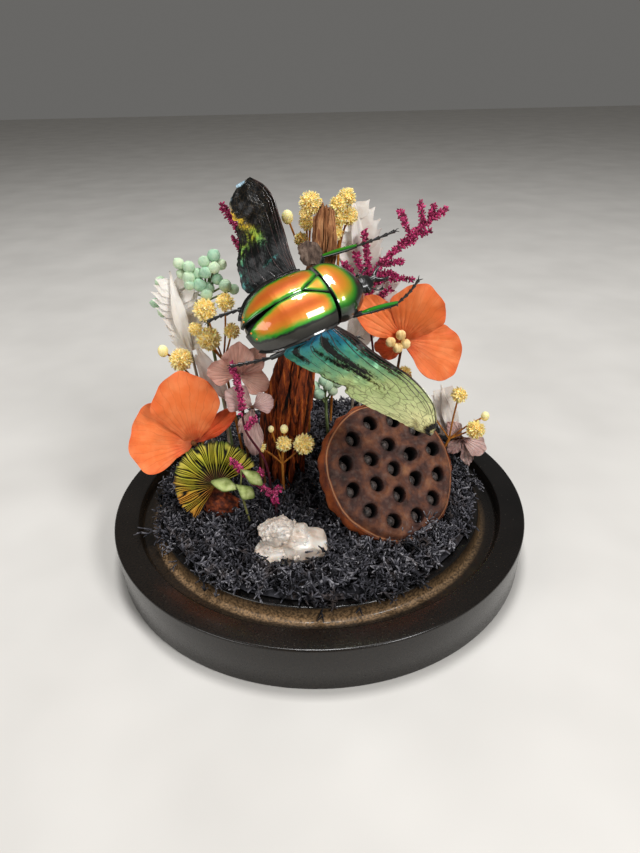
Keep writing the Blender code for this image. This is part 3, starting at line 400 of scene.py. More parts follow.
# Turned wood under satin black lacquer: soft highlights along the edges, and golden dust that lies
# in the groove's inner corner, most of it at the front left.
def lacqueredWood():
    f = newFinish("lacquered_turned_wood", Roughness=0.3, Specular_IOR_Level=0.35,
                  Coat_Weight=0.2, Coat_Roughness=0.12)
    axes = add(f, "SeparateXYZ", f.place).node.outputs
    flat = add(f, "CombineXYZ", axes["X"], axes["Y"])
    radius = add(f, "VectorMath", flat, operation="LENGTH").node.outputs["Value"]
    band = add(f, "ValToRGB", add(f, "MapRange", radius, 70.4 * mm, 79.8 * mm),
               stops=[(0.0, 0.0), (0.1, 0.9), (0.28, 0.75), (0.42, 0.1), (1.0, 0.02)])
    front = add(f, "VectorMath", f.place, (-0.55, -0.83, 0.0), operation="DOT_PRODUCT")
    front = add(f, "MapRange", front.node.outputs["Value"], -40 * mm, 70 * mm, 0.12)
    grain = add(f, "ValToRGB", add(f, "TexNoise", f.place, Scale=per(0.8), Detail=5.0),
                stops=[(0.40, 0.25), (0.62, 1.0)])
    speck = add(f, "ValToRGB", add(f, "TexVoronoi", f.place, Scale=per(2.6)),
                stops=[(0.04, 1.0), (0.09, 0.0)])
    film = add(f, "ValToRGB", add(f, "TexNoise", f.place, Scale=per(16), Detail=5.0),
               stops=[(0.3, "#060505"), (0.7, "#0e0c0b")])
    dusty = add(f, "Math", add(f, "Math", band, front, operation="MULTIPLY"), grain, operation="MULTIPLY")
    faint = add(f, "Math", speck, 0.18, operation="MULTIPLY")
    colour = add(f, "MixRGB", faint, add(f, "MixRGB", dusty, film, "#a5835c"), "#8b8378")
    rough = add(f, "MapRange", dusty, 0.0, 1.0, 0.27, 0.85)
    dimple = add(f, "Bump", Strength=0.25, Distance=0.2 * mm,
                 Height=add(f, "TexNoise", f.place, Scale=per(5), Detail=3.0))
    return feed(f, Base_Color=colour, Roughness=rough, Normal=dimple)


def makeBase():
    b = base
    floor = b["height"] - b["grooveDepth"]
    profile = rounded([(0.5, b["height"]), (b["grooveInner"], b["height"]),
                       (b["grooveInner"] + 1.0, floor), (b["grooveOuter"] - 1.0, floor),
                       (b["grooveOuter"], b["height"]), (b["radius"], b["height"]),
                       (b["footRadius"], 0.0), (0.5, 0.0)],
                      [0.7, 1.4, 1.4, 0.9, b["edge"], 0.6])
    addPiece("base_turned", [(lathe(profile, b["segments"]), lacqueredWood())], "black_wood", "base")


moss = {"radius": 68.5, "floor": 20.35, "depth": 5.5, "mound": 13.0, "moundAt": (8.0, 45.0),
        "moundSpread": (30.0, 20.0), "dip": 4.5, "dipAt": (29.0, -25.0), "dipSpread": 13.0,
        "tufts": 3000, "kinds": 14, "reach": 65.0, "pieces": 4,
        "cushion": {"reach": 67.6, "rings": 70, "around": 200, "under": 1.4}}


# Height of the moss bed: even, rounded off at its edge, a mound behind, a hollow under the pod.
def mossHeight(x, y):
    m = moss
    edge = np.clip(1 - (np.hypot(x, y) / m["radius"]) ** 6, 0, 1)
    dx, dy = (x - m["moundAt"][0]) / m["moundSpread"][0], (y - m["moundAt"][1]) / m["moundSpread"][1]
    away = np.hypot(x - m["dipAt"][0], y - m["dipAt"][1]) / m["dipSpread"]
    swell = m["mound"] * np.exp(-0.5 * (dx * dx + dy * dy)) - m["dip"] * np.exp(-0.5 * away * away)
    return m["floor"] + edge * (m["depth"] + swell)


# Dyed reindeer moss: matt branched threads, near black at the root and ash grey at the tips. The dark roots
# are painted shade deep in the mat; the grey tips are partly the moss's own tone and partly painted light.
def dyedMossShadedRoots():
    f = newFinish("dyed_reindeer_moss", Roughness=0.85, Specular_IOR_Level=0.25)
    tip = add(f, "Math", add(f, "SeparateXYZ", f.uv).node.outputs["Y"], 0.35, operation="MULTIPLY")
    # Painted shade and light: the colour darkens down each thread to its root and pales towards its tip.
    colour = add(f, "ValToRGB", add(f, "Math", f.tint, 0.65, tip, operation="MULTIPLY_ADD"),
                 stops=[(0.0, "#08080a"), (0.32, "#1e1e22"), (0.62, "#4e4d54"), (1.0, "#a3a1a5")])
    warm = add(f, "ValToRGB", add(f, "TexNoise", f.place, Scale=per(6), Detail=2.0),
               stops=[(0.56, 0.0), (0.72, 0.6)])
    return feed(f, Base_Color=add(f, "MixRGB", warm, colour, "#4a3f3a"))


# One tuft: a trunk, four bent branches from it and three short twigs on each, all tapered.
def mossTuft(rng):
    def branch(start, aim, length):
        return np.stack([start, start + unit(aim) * length])
    trunk = curve([(0, 0, -1.6), rng.normal(0, 0.3, 3) + (0, 0, 1.2), rng.normal(0, 0.7, 3) + (0, 0, 3.0)], 3)
    spread = rng.normal(size=(4, 3)) * (1, 1, 0.4) + (0, 0, 0.45)
    limbs = [branch(a, b, n) for a, b, n in zip(trunk[[1, 1, 2, 2]], spread, rng.uniform(1.5, 2.6, 4))]
    limbs = np.array([curve([a, (a + b) / 2 + rng.normal(0, 0.3, 3), b], 3) for a, b in limbs])
    lean = spread.repeat(3, 0) * 0.4 + rng.normal(size=(12, 3)) * (1.1, 1.1, 0.8)
    lengths = rng.uniform(0.9, 1.7, 12)
    twigs = [branch(limbs[k // 3][1 + (k % 3 > 0)], lean[k], n) for k, n in enumerate(lengths)]
    return joined([tubes(trunk, [0.42, 0.36, 0.3], 3), tubes(limbs, [0.3, 0.27, 0.24], 3),
                   tubes(np.array(twigs), [0.23, 0.14], 3)])


# A cushion with lumps, and tufts scattered evenly over its disc: radius by the square root of an
# even draw. They lean outwards at the rim, and leave the quartz and the stick free.
def makeMoss():
    m, rng = moss, np.random.default_rng(11)
    finish, c = dyedMossShadedRoots(), m["cushion"]
    reach = np.append(np.sin(np.linspace(0.02, 1, c["rings"]) * math.pi / 2), [1.0, 0.995]) * c["reach"]
    points = roundRings(reach[:, None], 0.0, c["around"])
    points[..., 2] = np.maximum(21.0, mossHeight(points[..., 0], points[..., 1]) - c["under"])
    points[..., 2] += 0.9 * lumps(points, 5.0, 3) + 0.5 * lumps(points, 2.0, 4)
    points[-2:, :, 2] = [[20.9], [20.4]]
    # Painted shade: the cushion's tint 0.1 makes it near black in the moss finish, a dark bed for the shade
    # deep under the tufts.
    addPiece("moss_cushion", [(closedRings(points, 0.1), finish)], "moss", "moss_bed", sharp=180)
    kinds = [mossTuft(rng) for k in range(m["kinds"])]
    turn = rng.uniform(0, tau, m["tufts"])
    overhang = 1 + 0.02 * np.sin(5 * turn + 1) + 0.02 * np.sin(11 * turn) + 0.06 * near(turn, 3.3, 0.3)
    r = m["reach"] * overhang * np.sqrt(rng.uniform(0, 1, m["tufts"]))
    x, y = r * np.cos(turn), r * np.sin(turn)
    lean = rng.normal(0, 0.42, (m["tufts"], 3)) + (0, 0, 1)
    edge = ease(r, 54, 68)
    lean[:, 0] += edge * np.cos(turn) * 0.9
    lean[:, 1] += edge * np.sin(turn) * 0.9
    swell = lumps(np.stack([x, y, 0 * x], -1), 11.0, 12)
    places = np.stack([x, y, mossHeight(x, y) - 1.7 + 1.3 * swell * (1 - edge) - 1.2 * edge], -1)
    clear = (np.hypot((x + 10.5) / 10.5, (y + 47.5) / 6.0) > 1) & (np.hypot(x + 16.5, y - 3) > 7)
    sector = ((turn / tau) * m["pieces"]).astype(int)
    kind = rng.integers(0, m["kinds"], m["tufts"])
    spin, size = rng.uniform(0, tau, m["tufts"]), rng.uniform(1.2, 2.05, m["tufts"])
    # Tone per tuft: random, and lighter where the swell raises the tufts, which paints light on the clump
    # tops and shade in the hollows.
    shade = np.clip(rng.beta(1.6, 2.0, m["tufts"]) * 0.9 + 0.22 * swell + 0.06, 0, 1)
    for k in range(m["pieces"]):
        parts = []
        for n, shape in enumerate(kinds):
            take = (sector == k) & (kind == n) & clear
            parts.append(scatter(shape, places[take], turnsTo(lean[take], spin[take]), size[take],
                                 shade[take]))
        addPiece(f"moss_tufts_{k + 1}", [(joined(parts), finish)], "moss", "moss_bed", sharp=180)


stick = {"axis": [(-16.5, 3.0, 24.0), (-16.0, 2.5, 31.0), (-14.5, 1.0, 48.0), (-11.5, -1.0, 68.0),
                  (-8.5, -3.0, 82.0), (-6.0, -5.0, 94.0), (-2.5, -7.0, 108.0), (0.8, -6.35, 120.0),
                  (4.0, -5.2, 131.0), (4.3, -4.6, 141.0), (4.3, -4.4, 148.0)],
         "widths": [9.5, 8.6, 9.0, 9.2, 7.5, 6.4, 5.6, 5.2, 4.3, 4.0, 3.6], "levels": 390,
         "around": 196, "flat": 0.72, "top": ([-1.0, 1.6, 3.6, 7.4], [141.5, 143.0, 147.2, 144.8]),
         "topFrom": 128.0, "splinters": [
             ((-11.5, -5.2, 50.0), (-2.0, -9.6, 98.0), 1.5), ((5.8, -5.2, 134.0), (6.8, -5.8, 144.8), 1.5),
             ((-7.0, -6.2, 60.0), (-3.0, -8.8, 88.0), 1.0), ((-17.0, -5.0, 44.0), (-10.5, -7.6, 70.0), 1.0),
             ((-20.0, -3.0, 30.0), (-16.0, -5.6, 52.0), 1.2), ((2.4, -7.5, 126.0), (3.0, -7.2, 143.5), 1.0),
             ((-8.5, -7.8, 42.0), (-5.0, -8.4, 74.0), 1.1), ((-13.0, -6.5, 28.0), (-9.5, -8.0, 52.0), 1.2)]}


# Weathered softwood: dry splintered fibres, red-brown below and tan above. Its colour follows the fibre
# relief: near black in the grooves and cracks, which is painted shade, and bright orange on the broken
# ridges, partly the wood's own colour and partly painted highlight.
def driftwoodFinish():
    f = newFinish("weathered_driftwood_shaded_relief", Roughness=0.78, Specular_IOR_Level=0.3)
    grain = add(f, "Mapping", f.place, Scale=(1.0, 1.0, 0.09))
    fibre = add(f, "TexNoise", grain, Scale=per(1.1), Detail=6.0, Roughness=0.65)
    # The colour ramps read the same noise as the bump: dark in its grooves (painted shade), bright on its
    # crests (partly painted highlight).
    low = add(f, "ValToRGB", fibre, stops=[(0.28, "#140806"), (0.42, "#4a1c0c"), (0.55, "#9c4418"),
                                           (0.68, "#dc7c34")])
    high = add(f, "ValToRGB", fibre, stops=[(0.28, "#2a1610"), (0.42, "#7d4c30"), (0.56, "#b07a50"),
                                            (0.72, "#cf9f74")])
    rise = add(f, "MapRange", add(f, "SeparateXYZ", f.place).node.outputs["Z"], 0.108, 0.128)
    # Painted shade: low tint, in the cracks and between the fibres, turns the colour near black.
    deep = add(f, "ValToRGB", f.tint, stops=[(0.1, 0.0), (0.55, 1.0)])
    colour = add(f, "MixRGB", deep, "#0d0605", add(f, "MixRGB", rise, low, high))
    return feed(f, Base_Color=colour, Normal=add(f, "Bump", Strength=0.8, Distance=0.5 * mm, Height=fibre))


# Wood carried up its axis: a star section, and fibre ridges that are noise stretched along the
# stick, sharpened by taking one minus its size, with cracks where a second noise nears zero.
def fibrousColumn(axis, widths, levels, around, flat):
    centre = curve(axis, levels)
    width = np.interp(np.linspace(0, 1, levels), np.linspace(0, 1, len(widths)), widths)[:, None]
    turn = np.arange(around)[None] * tau / around
    level = np.linspace(0, len(widths) - 1, levels)[:, None]
    ridge = 1 + 0.15 * np.cos(4 * turn + 0.25 * level) + 0.09 * np.sin(7 * turn - 0.4 * level)
    p = np.stack(np.broadcast_arrays(9 * np.cos(turn), 9 * np.sin(turn), centre[:, 2:] / 11), -1)
    fibre = 1 - np.abs(lumps(p, 2.6, 21)) * 1.6
    fine = 1 - np.abs(lumps(p * (1, 1, 1.6), 1.1, 22, 12)) * 1.6
    crack = near(lumps(p, 6.0, 23), 0, 0.09)
    radius = width * ridge + 0.9 * fibre + 0.45 * fine - 1.0 - 1.7 * crack
    points = centre[:, None] + np.stack([radius * np.cos(turn), flat * radius * np.sin(turn), 0 * radius], -1)
    # The tint falls in the cracks and between the fibres, where the finish paints shade.
    return points, np.clip(0.25 + 0.5 * fibre + 0.35 * fine - 0.9 * crack, 0, 1)


# The column with its broken top, and long splinters that swell and taper by a sine.
def makeDriftwood():
    finish, w = driftwoodFinish(), stick
    points, tint = fibrousColumn(w["axis"], w["widths"], w["levels"], w["around"], w["flat"])
    # Heights past topFrom are pressed under a slanting line.
    limit = np.interp(points[..., 0], *w["top"]) + 0.5 * np.sin(points[..., 0] * 5)
    rise = points[..., 2] - w["topFrom"]
    pressed = w["topFrom"] + rise * (limit - w["topFrom"]) / (w["axis"][-1][2] - w["topFrom"])
    points[..., 2] = np.where(rise > 0, pressed, points[..., 2])
    parts = [(closedRings(points, tint), finish)]
    rng = np.random.default_rng(5)
    paths, radii = [], []
    for start, end, width in w["splinters"]:
        middle = (np.array(start) + end) / 2 + rng.normal(0, 0.4, 3) + (0, -0.8, 0)
        paths.append(curve([start, middle, end], 60))
        radii.append(width * np.sin(np.linspace(0.5, 3.0, 60)) ** 0.7
                     * (1 + 0.25 * lumps(paths[-1], 5.0, 9)))
    parts.append((tubes(np.array(paths), np.array(radii), 14, 1.0), finish))
    addPiece("driftwood_stick", parts, "driftwood", "driftwood", sharp=60)


# Points over a disc of radius 1, from a square grid (a, b): x = a sqrt(1 - b b / 2), and y alike.
def disc(rows, cols):
    b, a = np.meshgrid(np.linspace(-1, 1, rows), np.linspace(-1, 1, cols), indexing="ij")
    return a * np.sqrt(1 - b * b / 2), b * np.sqrt(1 - a * a / 2)


# Petal or leaf over a disc, with y from base to tip. The width narrows by neck to the base and by
# point to the tip; the outline waves by sines of the angle, with a notch at the tip. The sheet
# arches by bow along its length, its edge lifts by cup and ruffles, and its veins are low furrows
# that fan out from the base. UV is the flat place in petal lengths, and tint is 1 at the edge.
def petal(base, tip, facing, width, neck=0.45, point=0.0, cup=0.12, bow=0.08, ruffle=0.0, wavy=0.02,
          notch=0.0, veins=0, rows=50, cols=42, thick=0.4, seed=1):
    base, tip = np.array(base, float), np.array(tip, float)
    along = tip - base
    length = np.linalg.norm(along)
    side = unit(np.cross(facing, along))
    normal = unit(np.cross(along, side))
    x, y = disc(rows, cols)
    phase = np.random.default_rng(seed).uniform(0, tau, 4)
    turn, away = np.arctan2(x, y), np.hypot(x, y)
    wave = wavy * (np.sin(5 * turn + phase[0]) + 0.7 * np.sin(9 * turn + phase[1]))
    scale = 1 + (wave - notch * near(turn, 0, 0.2)) * away ** 3
    up = y * scale
    across = x * scale * (neck + (1 - neck) * ease(y, -1.0, 0.2)) * (1 - point * ease(y, -0.1, 1.0))
    u, v = across * width / (2 * length), (up + 1) / 2
    crumple = np.sin(6 * turn + phase[2]) + 0.6 * np.sin(11 * turn + phase[3])
    lift = (cup * width / 2 * across ** 2 + bow * length * (1 - up ** 2) + ruffle * crumple * away ** 4
            + ruffle * 0.5 * lumps(np.stack([across * 3, up * 3, 0 * up], -1), 2.0, seed))
    if veins:
        fan = np.linspace(-0.7, 0.7, veins)[:, None, None]
        lift = lift - 0.22 * (near(np.arctan2(u, v + 0.04), fan, 0.02) * ease(1 - away, 0, 0.3)).sum(0)
    points = base + along * v[..., None] + side * (u * length)[..., None] + normal * lift[..., None]
    sheet = thickSheet(points, thick, away ** 4)
    place = np.tile(np.stack([u + 0.5, v], -1).reshape(-1, 2), (2, 1))
    sheet["uvs"] = [place[f] for f in sheet["faces"]]
    return sheet


# Preserved petal: thin, translucent and matt, with fine dark veins that fan out from the heart.
def petalFinish(name, heart, middle, edge, blotch, strength):
    f = newFinish(name, Roughness=0.6, Subsurface_Weight=0.2, Specular_IOR_Level=0.3,
                  Subsurface_Radius=(0.0012, 0.0005, 0.0003), Sheen_Weight=0.1)
    axes = add(f, "SeparateXYZ", f.uv).node.outputs
    body = add(f, "ValToRGB", axes["Y"], stops=[(0.0, heart), (0.04, heart), (0.16, edge), (0.4, middle),
                                                (1.0, middle)])
    colour = add(f, "MixRGB", add(f, "Math", f.tint, 0.8, operation="MULTIPLY"), body, edge)
    mottle = add(f, "ValToRGB", add(f, "TexNoise", f.place, Scale=per(5.5), Detail=6.0),
                 stops=[(0.42, 0.0), (0.72, 0.7)])
    colour = add(f, "MixRGB", mottle, colour, blotch)
    bend = add(f, "TexNoise", f.place, Scale=per(7), Detail=3.0)
    lean = add(f, "Math", add(f, "Math", axes["X"], 0.5, operation="SUBTRACT"),
               add(f, "Math", axes["Y"], 0.04, operation="ADD"), operation="ARCTAN2")
    bent = add(f, "Math", bend, 1.3, operation="MULTIPLY")
    lean = add(f, "Math", lean, 7.0, bent, operation="MULTIPLY_ADD")
    line = add(f, "Math", add(f, "Math", lean, 0.5, operation="PINGPONG"), axes["Y"], operation="MULTIPLY")
    vein = add(f, "ValToRGB", line, stops=[(0.0, strength), (0.045, 0.0)])
    colour = add(f, "MixRGB", vein, colour, heart, blend_type="MULTIPLY")
    grain = add(f, "MixRGB", 0.35, add(f, "TexNoise", f.place, Scale=per(0.9), Detail=5.0), bend)
    return feed(f, Base_Color=colour, Normal=add(f, "Bump", Strength=0.4, Distance=0.2 * mm, Height=grain))


# Stalk from a flower down to the moss, a parabola arched by bend.
def stalkPath(top, foot, bend=(0, 0, 0)):
    top = np.array(top, float)
    foot = vec(*foot, mossHeight(*foot) - 0.5)
    middle = (top + foot) / 2 + np.array(bend, float)
    s = np.linspace(0, 1, 24)[:, None]
    return (1 - s) ** 2 * top + 2 * s * (1 - s) * middle + s ** 2 * foot


# Dry plant stalk: brown bark with lengthwise streaks.
def stalkFinish(name, dark, light):
    return mottled(name, 1.4, 4.0, [(0.35, dark), (0.65, light)], (0.5, 0.15), 0.25, Roughness=0.7,
                   Specular_IOR_Level=0.3)


# Each flower: its hub, its petals as tip, facing and width, which of them are deep in colour, its buds.
flowers = {
    "orange_hydrangea_left": {
        "centre": (-50.4, -14.0, 56.6), "kind": "orange", "hub": 1.7,
        "petals": [((-52.2, -10.5, 86.6), (0.05, -0.9, 0.3), 27.0),
                   ((-75.4, -15.0, 62.2), (0.1, -0.85, 0.5), 30.0),
                   ((-33.0, -9.0, 69.0), (-0.45, -0.7, -0.2), 8.0)],
        "deep": [2], "foot": (-46.0, -6.0), "bend": (2.0, 4.0, 0.0)},
    "orange_hydrangea_right": {
        "centre": (36.2, 8.0, 90.6), "kind": "orange", "hub": 1.7,
        "petals": [((45.5, 7.0, 113.2), (-0.05, -0.9, 0.35), 23.0),
                   ((17.0, 9.5, 107.5), (0.15, -0.9, 0.3), 15.0),
                   ((60.5, 9.0, 79.0), (0.1, -0.85, 0.5), 24.0),
                   ((25.5, 11.0, 84.5), (0.5, -0.8, 0.2), 12.0)],
        "deep": [3], "buds": [(30.6, 3.5, 91.4), (34.6, 3.8, 94.3), (33.4, 2.6, 89.2), (36.6, 3.4, 90.6)],
        "foot": (32.0, 18.0), "bend": (0.0, 6.0, 0.0)},
    "mauve_floret_upper": {
        "centre": (-29.8, -12.0, 85.5), "kind": "mauve", "hub": 1.1,
        "petals": [((-28.6, -11.0, 98.6), (0.0, -0.85, 0.5), 13.0),
                   ((-42.0, -12.5, 88.0), (-0.1, -0.85, 0.5), 11.0),
                   ((-18.6, -10.8, 79.6), (0.2, -0.9, 0.3), 11.0),
                   ((-19.6, -8.2, 95.0), (0.1, -0.9, 0.3), 10.0)],
        "foot": (-30.0, -2.0), "bend": (-1.0, 6.0, 0.0)},
    "mauve_floret_lower": {
        "centre": (-25.0, -16.5, 73.6), "kind": "dusty", "hub": 1.1,
        "petals": [((-34.8, -16.0, 80.8), (-0.1, -0.85, 0.5), 12.0),
                   ((-16.8, -15.6, 77.0), (0.2, -0.9, 0.3), 9.5),
                   ((-25.6, -16.6, 51.5), (0.0, -0.95, 0.2), 8.5),
                   ((-31.0, -14.6, 61.0), (-0.2, -0.9, 0.2), 5.0)],
        "foot": (-23.0, -9.0), "bend": (0.0, 7.0, 0.0)},
    "mauve_floret_right": {
        "centre": (64.5, 8.0, 43.0), "kind": "dusty", "hub": 1.1,
        "petals": [((58.0, 9.0, 50.5), (0.0, -0.9, 0.4), 8.0), ((75.5, 7.0, 36.0), (0.1, -0.85, 0.5), 10.5),
                   ((59.0, 7.0, 36.0), (-0.1, -0.9, 0.3), 7.0), ((69.5, 9.4, 27.4), (0.1, -0.9, 0.2), 6.5)],
        "foot": (50.0, 13.0), "bend": (2.0, 3.0, 4.0)},
}


# Petals round a hub, four-folded buds where a flower has them, and a stalk.
def makeFlowers():
    finishes = {
        "orange": petalFinish("preserved_orange_petal", "#7a2408", "#ea7434", "#d85c26", "#f28e54", 0.18),
        "deep": petalFinish("preserved_red_orange_petal", "#5a1606", "#cc4a18", "#a8340e", "#dc6a34", 0.25),
        "mauve": petalFinish("preserved_rose_petal", "#4a1a22", "#d49e8c", "#ae7466", "#e4bcac", 0.3),
        "dusty": petalFinish("preserved_mauve_petal", "#3a1a24", "#be9a94", "#9a746e", "#d6bab0", 0.42)}
    stalk = stalkFinish("flower_stalk", "#3a1c10", "#7a4a24")
    bud = stalkFinish("cream_flower_bud", "#d8b070", "#fbe2a4")
    for name, spec in flowers.items():
        centre = np.array(spec["centre"])
        orange = spec["kind"] == "orange"
        neck, point = (0.5, 0.0) if orange else (0.3, 0.3)
        parts = []
        for k, (tip, facing, width) in enumerate(spec["petals"]):
            start = centre + 0.3 * spec["hub"] * unit(np.array(tip) - centre) + (0, -0.2 * k, 0)
            kind = "deep" if k in spec.get("deep", []) else spec["kind"]
            parts.append((petal(start, tip, facing, width, neck, point, ruffle=0.4, wavy=0.022,
                                notch=0.05 * (k % 2), veins=9, seed=k + 3), finishes[kind]))
        parts.append((ballAt(centre, 0.8 * spec["hub"], 10, 14), stalk))
        for place in spec.get("buds", []):
            ball = ballAt(np.zeros(3), 2.1, 20, 28)
            p = ball["points"]
            fold = 1 - 0.10 * near(np.sin(2 * np.arctan2(p[:, 0], p[:, 2])), 0, 0.25)
            parts.append(({**ball, "points": p * fold[:, None] + place}, bud))
        path = stalkPath(centre + (0, 0.3 * spec["hub"], 0), spec["foot"], spec["bend"])
        parts.append((tubes(path, 0.6, 8), stalk))
        addPiece(name + "_petals", parts, "orange_petal" if orange else "mauve_petal", name)


leafFacing = (0.0, -0.95, 0.3)
# Each pale leaf: base, tip, width, pairs of lobes (0 is a smooth leaf), lean of its lobes, foot.
leaves = {
    "pale_leaf_left": ((-51.5, 9.0, 86.0), (-56.0, 9.0, 121.0), 15.5, 10, 0.95, (-46.0, 13.0)),
    "pale_leaf_lower_left": ((-37.0, 0.5, 69.0), (-49.0, 2.0, 92.0), 13.0, 0, 0.0, (-39.0, 4.0)),
    "pale_leaf_back": ((22.0, 25.0, 104.0), (15.6, 25.0, 145.5), 17.0, 8, 0.95, (15.0, 26.0)),
    "pale_leaf_centre": ((17.0, 21.0, 84.0), (31.0, 21.0, 116.0), 15.0, 7, 0.9, (20.0, 20.0)),
    "pale_leaf_right": ((60.5, 13.0, 41.0), (54.5, 13.0, 67.0), 12.0, 6, 0.7, (42.0, 22.0)),
}


# Bleached felted leaf: off-white and matt, with a soft short nap and faint lengthwise streaks.
def paleFelt():
    f = newFinish("bleached_felt_leaf", Roughness=0.9, Sheen_Weight=0.3, Subsurface_Weight=0.15,
                  Subsurface_Radius=(0.001, 0.0008, 0.0006), Specular_IOR_Level=0.2)
    colour = add(f, "ValToRGB", add(f, "TexNoise", f.place, Scale=per(7), Detail=5.0),
                 stops=[(0.3, "#e6dcd2"), (0.45, "#f4eee6"), (0.7, "#fdfaf5")])
    colour = add(f, "MixRGB", add(f, "Math", f.tint, 0.2, operation="MULTIPLY"), colour, "#c8b4a6")
    streak = add(f, "TexNoise", add(f, "Mapping", f.uv, Scale=(14.0, 1.0, 1.0)), Scale=5.0, Detail=3.0)
    return feed(f, Base_Color=colour, Normal=add(f, "Bump", Strength=0.5, Distance=0.3 * mm, Height=streak))


# Feathered leaf: a narrow middle and pairs of pointed lobes that lean from the rib to the tip.
# Lobe length follows a sine of the way along the rib. A smooth leaf is two halves with a slit.
def featherLeaf(root, tip, width, pairs, lean, seed):
    root, tip = np.array(root, float), np.array(tip, float)
    along, length = unit(tip - root), np.linalg.norm(tip - root)
    side = unit(np.cross(leafFacing, along))
    rng = np.random.default_rng(seed)
    if not pairs:
        return [petal(root + hand * side * 0.6, tip + hand * side * 1.2 - along * (2 + hand), leafFacing,
                      width * 0.6, 0.5, 0.5, ruffle=0.2, seed=seed + hand) for hand in (-1, 1)]
    lobes = [petal(root, tip, leafFacing, width * 0.4, 0.6, 0.75, ruffle=0.2, seed=seed)]
    for k in range(pairs):
        share = (k + 0.3) / pairs
        reach = width * 0.74 * (0.4 + 0.6 * math.sin(math.pi * (0.15 + 0.72 * share)))
        for hand in (-1, 1):
            start = root + along * length * (0.03 + 0.82 * share) + (0, rng.uniform(-0.3, 0.3), 0)
            aim = along * math.cos(lean) + hand * side * math.sin(lean) + rng.normal(0, 0.07, 3)
            lobes.append(petal(start, start + unit(aim) * reach * rng.uniform(0.9, 1.1), leafFacing,
                               length / pairs * 1.35, 0.8, 0.8, cup=0.05, bow=0.03, wavy=0.01, rows=22,
                               cols=14, seed=seed + 10 * k + hand))
    return lobes


# Lobes and rib of each leaf, on a stalk that starts behind its lower end.
def makeLeaves():
    felt = paleFelt()
    stalk = stalkFinish("pale_stalk", "#8a7a68", "#c4b8a4")
    for k, (name, (root, tip, width, pairs, lean, foot)) in enumerate(leaves.items()):
        rib = curve([root, (np.array(root) + tip) / 2 + (0, -1.2, 0.3), tip], 30)
        top = np.array(root) + 0.12 * (np.array(tip) - root) + (0, 0.2, 0)
        parts = [(lobe, felt) for lobe in featherLeaf(root, tip, width, pairs, lean, 40 + k)]
        parts.append((tubes(stalkPath(top, foot), 0.6, 8), stalk))
        if pairs:
            parts.append((tubes(rib, np.linspace(0.55, 0.2, 30), 8), felt))
        addPiece(name + "_felted", parts, "pale_leaf", name, sharp=70)


# Each spray: its heads as centre and radius, where the stalks meet, the foot.
creamSprays = {
    "cream_spray_left": ([((-42.3, 0, 107.9), 4.4), ((-34.2, 0, 111.0), 3.6), ((-47.0, 0, 100.3), 2.8),
                          ((-42.0, 0, 96.0), 4.7), ((-32.6, 0, 99.1), 3.2)], (-38.0, 5.5, 84.0),
                         (-34.0, 14.0)),
    "cream_spray_far_left": ([((-54.2, 0, 87.2), 4.6), ((-60.9, 0, 91.3), 2.2)], (-52.0, 4.5, 78.0),
                             (-50.0, 6.0)),
    "cream_spray_top": ([((-0.2, 6, 145.6), 4.2), ((-2.0, 6, 138.8), 3.0), ((-9.1, 6, 140.9), 2.3),
                         ((-4.3, 5, 132.9), 2.7), ((-2.2, 5, 142.0), 2.6)], (-2.0, 9.0, 122.0), (-4.0, 24.0)),
    "cream_spray_back": ([((10.2, 12, 144.0), 3.4), ((13.4, 13, 146.4), 3.4), ((10.6, 12, 138.8), 3.2),
                          ((14.0, 13, 139.5), 3.6), ((8.6, 11, 134.0), 3.2)], (10.0, 15.0, 124.0),
                         (6.0, 30.0)),
    "cream_spray_front": ([((-24.0, -14, 53.9), 2.8), ((-13.7, -14, 55.1), 3.2), ((-5.5, -14, 54.8), 4.2),
                           ((-18.6, -14, 62.2), 1.3), ((-13.3, -14, 62.1), 1.7)], (-15.0, -11.5, 44.0),
                          (-15.0, -13.0)),
    "cream_spray_right": ([((60.5, 4, 66.5), 3.4), ((68.5, 2, 50.5), 4.1), ((72.4, 3, 56.5), 1.9),
                           ((37.8, 12, 73.2), 3.4)],
                          (58.0, 4.0, 45.0), (50.0, 5.0)),
}


# Dried everlasting heads: papery cream bracts, amber towards the stalk.
def creamBract():
    f = newFinish("papery_cream_bract", Roughness=0.75, Subsurface_Weight=0.5, Specular_IOR_Level=0.25,
                  Subsurface_Radius=(0.0012, 0.0009, 0.0004))
    tip = add(f, "Math", add(f, "SeparateXYZ", f.uv).node.outputs["Y"], 0.5, operation="MULTIPLY")
    colour = add(f, "ValToRGB", add(f, "Math", f.tint, 0.5, tip, operation="MULTIPLY_ADD"),
                 stops=[(0.0, "#d89a44"), (0.18, "#f8c658"), (0.42, "#fedd84"), (0.9, "#fff2bc")])
    return feed(f, Base_Color=colour, Normal=add(f, "Bump", Strength=0.5, Distance=0.2 * mm, Height=add(
        f, "TexNoise", f.place, Scale=per(0.7), Detail=3.0)))


# One head: a core ball, and fine pointed bracts that stand out of it at evenly spread places. A
# small one is a closed egg-shaped bud.
def everlasting(centre, radius, rng):
    if radius < 2.4:
        return [ballAt(np.array(centre, float), radius * vec(0.95, 0.95, 1.15), 14, 18, 0.8)]
    count = int(50 + 32 * radius ** 1.5)
    bract = tubes(curve([(0, 0, 0), (0.12, 0, 0.5), (0.02, 0, 1.0)], 3), [0.2, 0.26, 0.05], 4, flat=0.4)
    aims = unit(sphereSpread(count) + rng.normal(0, 0.2, (count, 3)))
    sizes = radius * rng.uniform(0.34, 0.58, (count, 1))
    heads = scatter(bract, centre + aims * radius * 0.58, turnsTo(aims + rng.normal(0, 0.35, (count, 3)),
                    rng.uniform(0, tau, count)), sizes, rng.uniform(0.25, 1.0, count))
    return [heads, ballAt(np.array(centre, float), radius * 0.72, 8, 12, 0.3)]


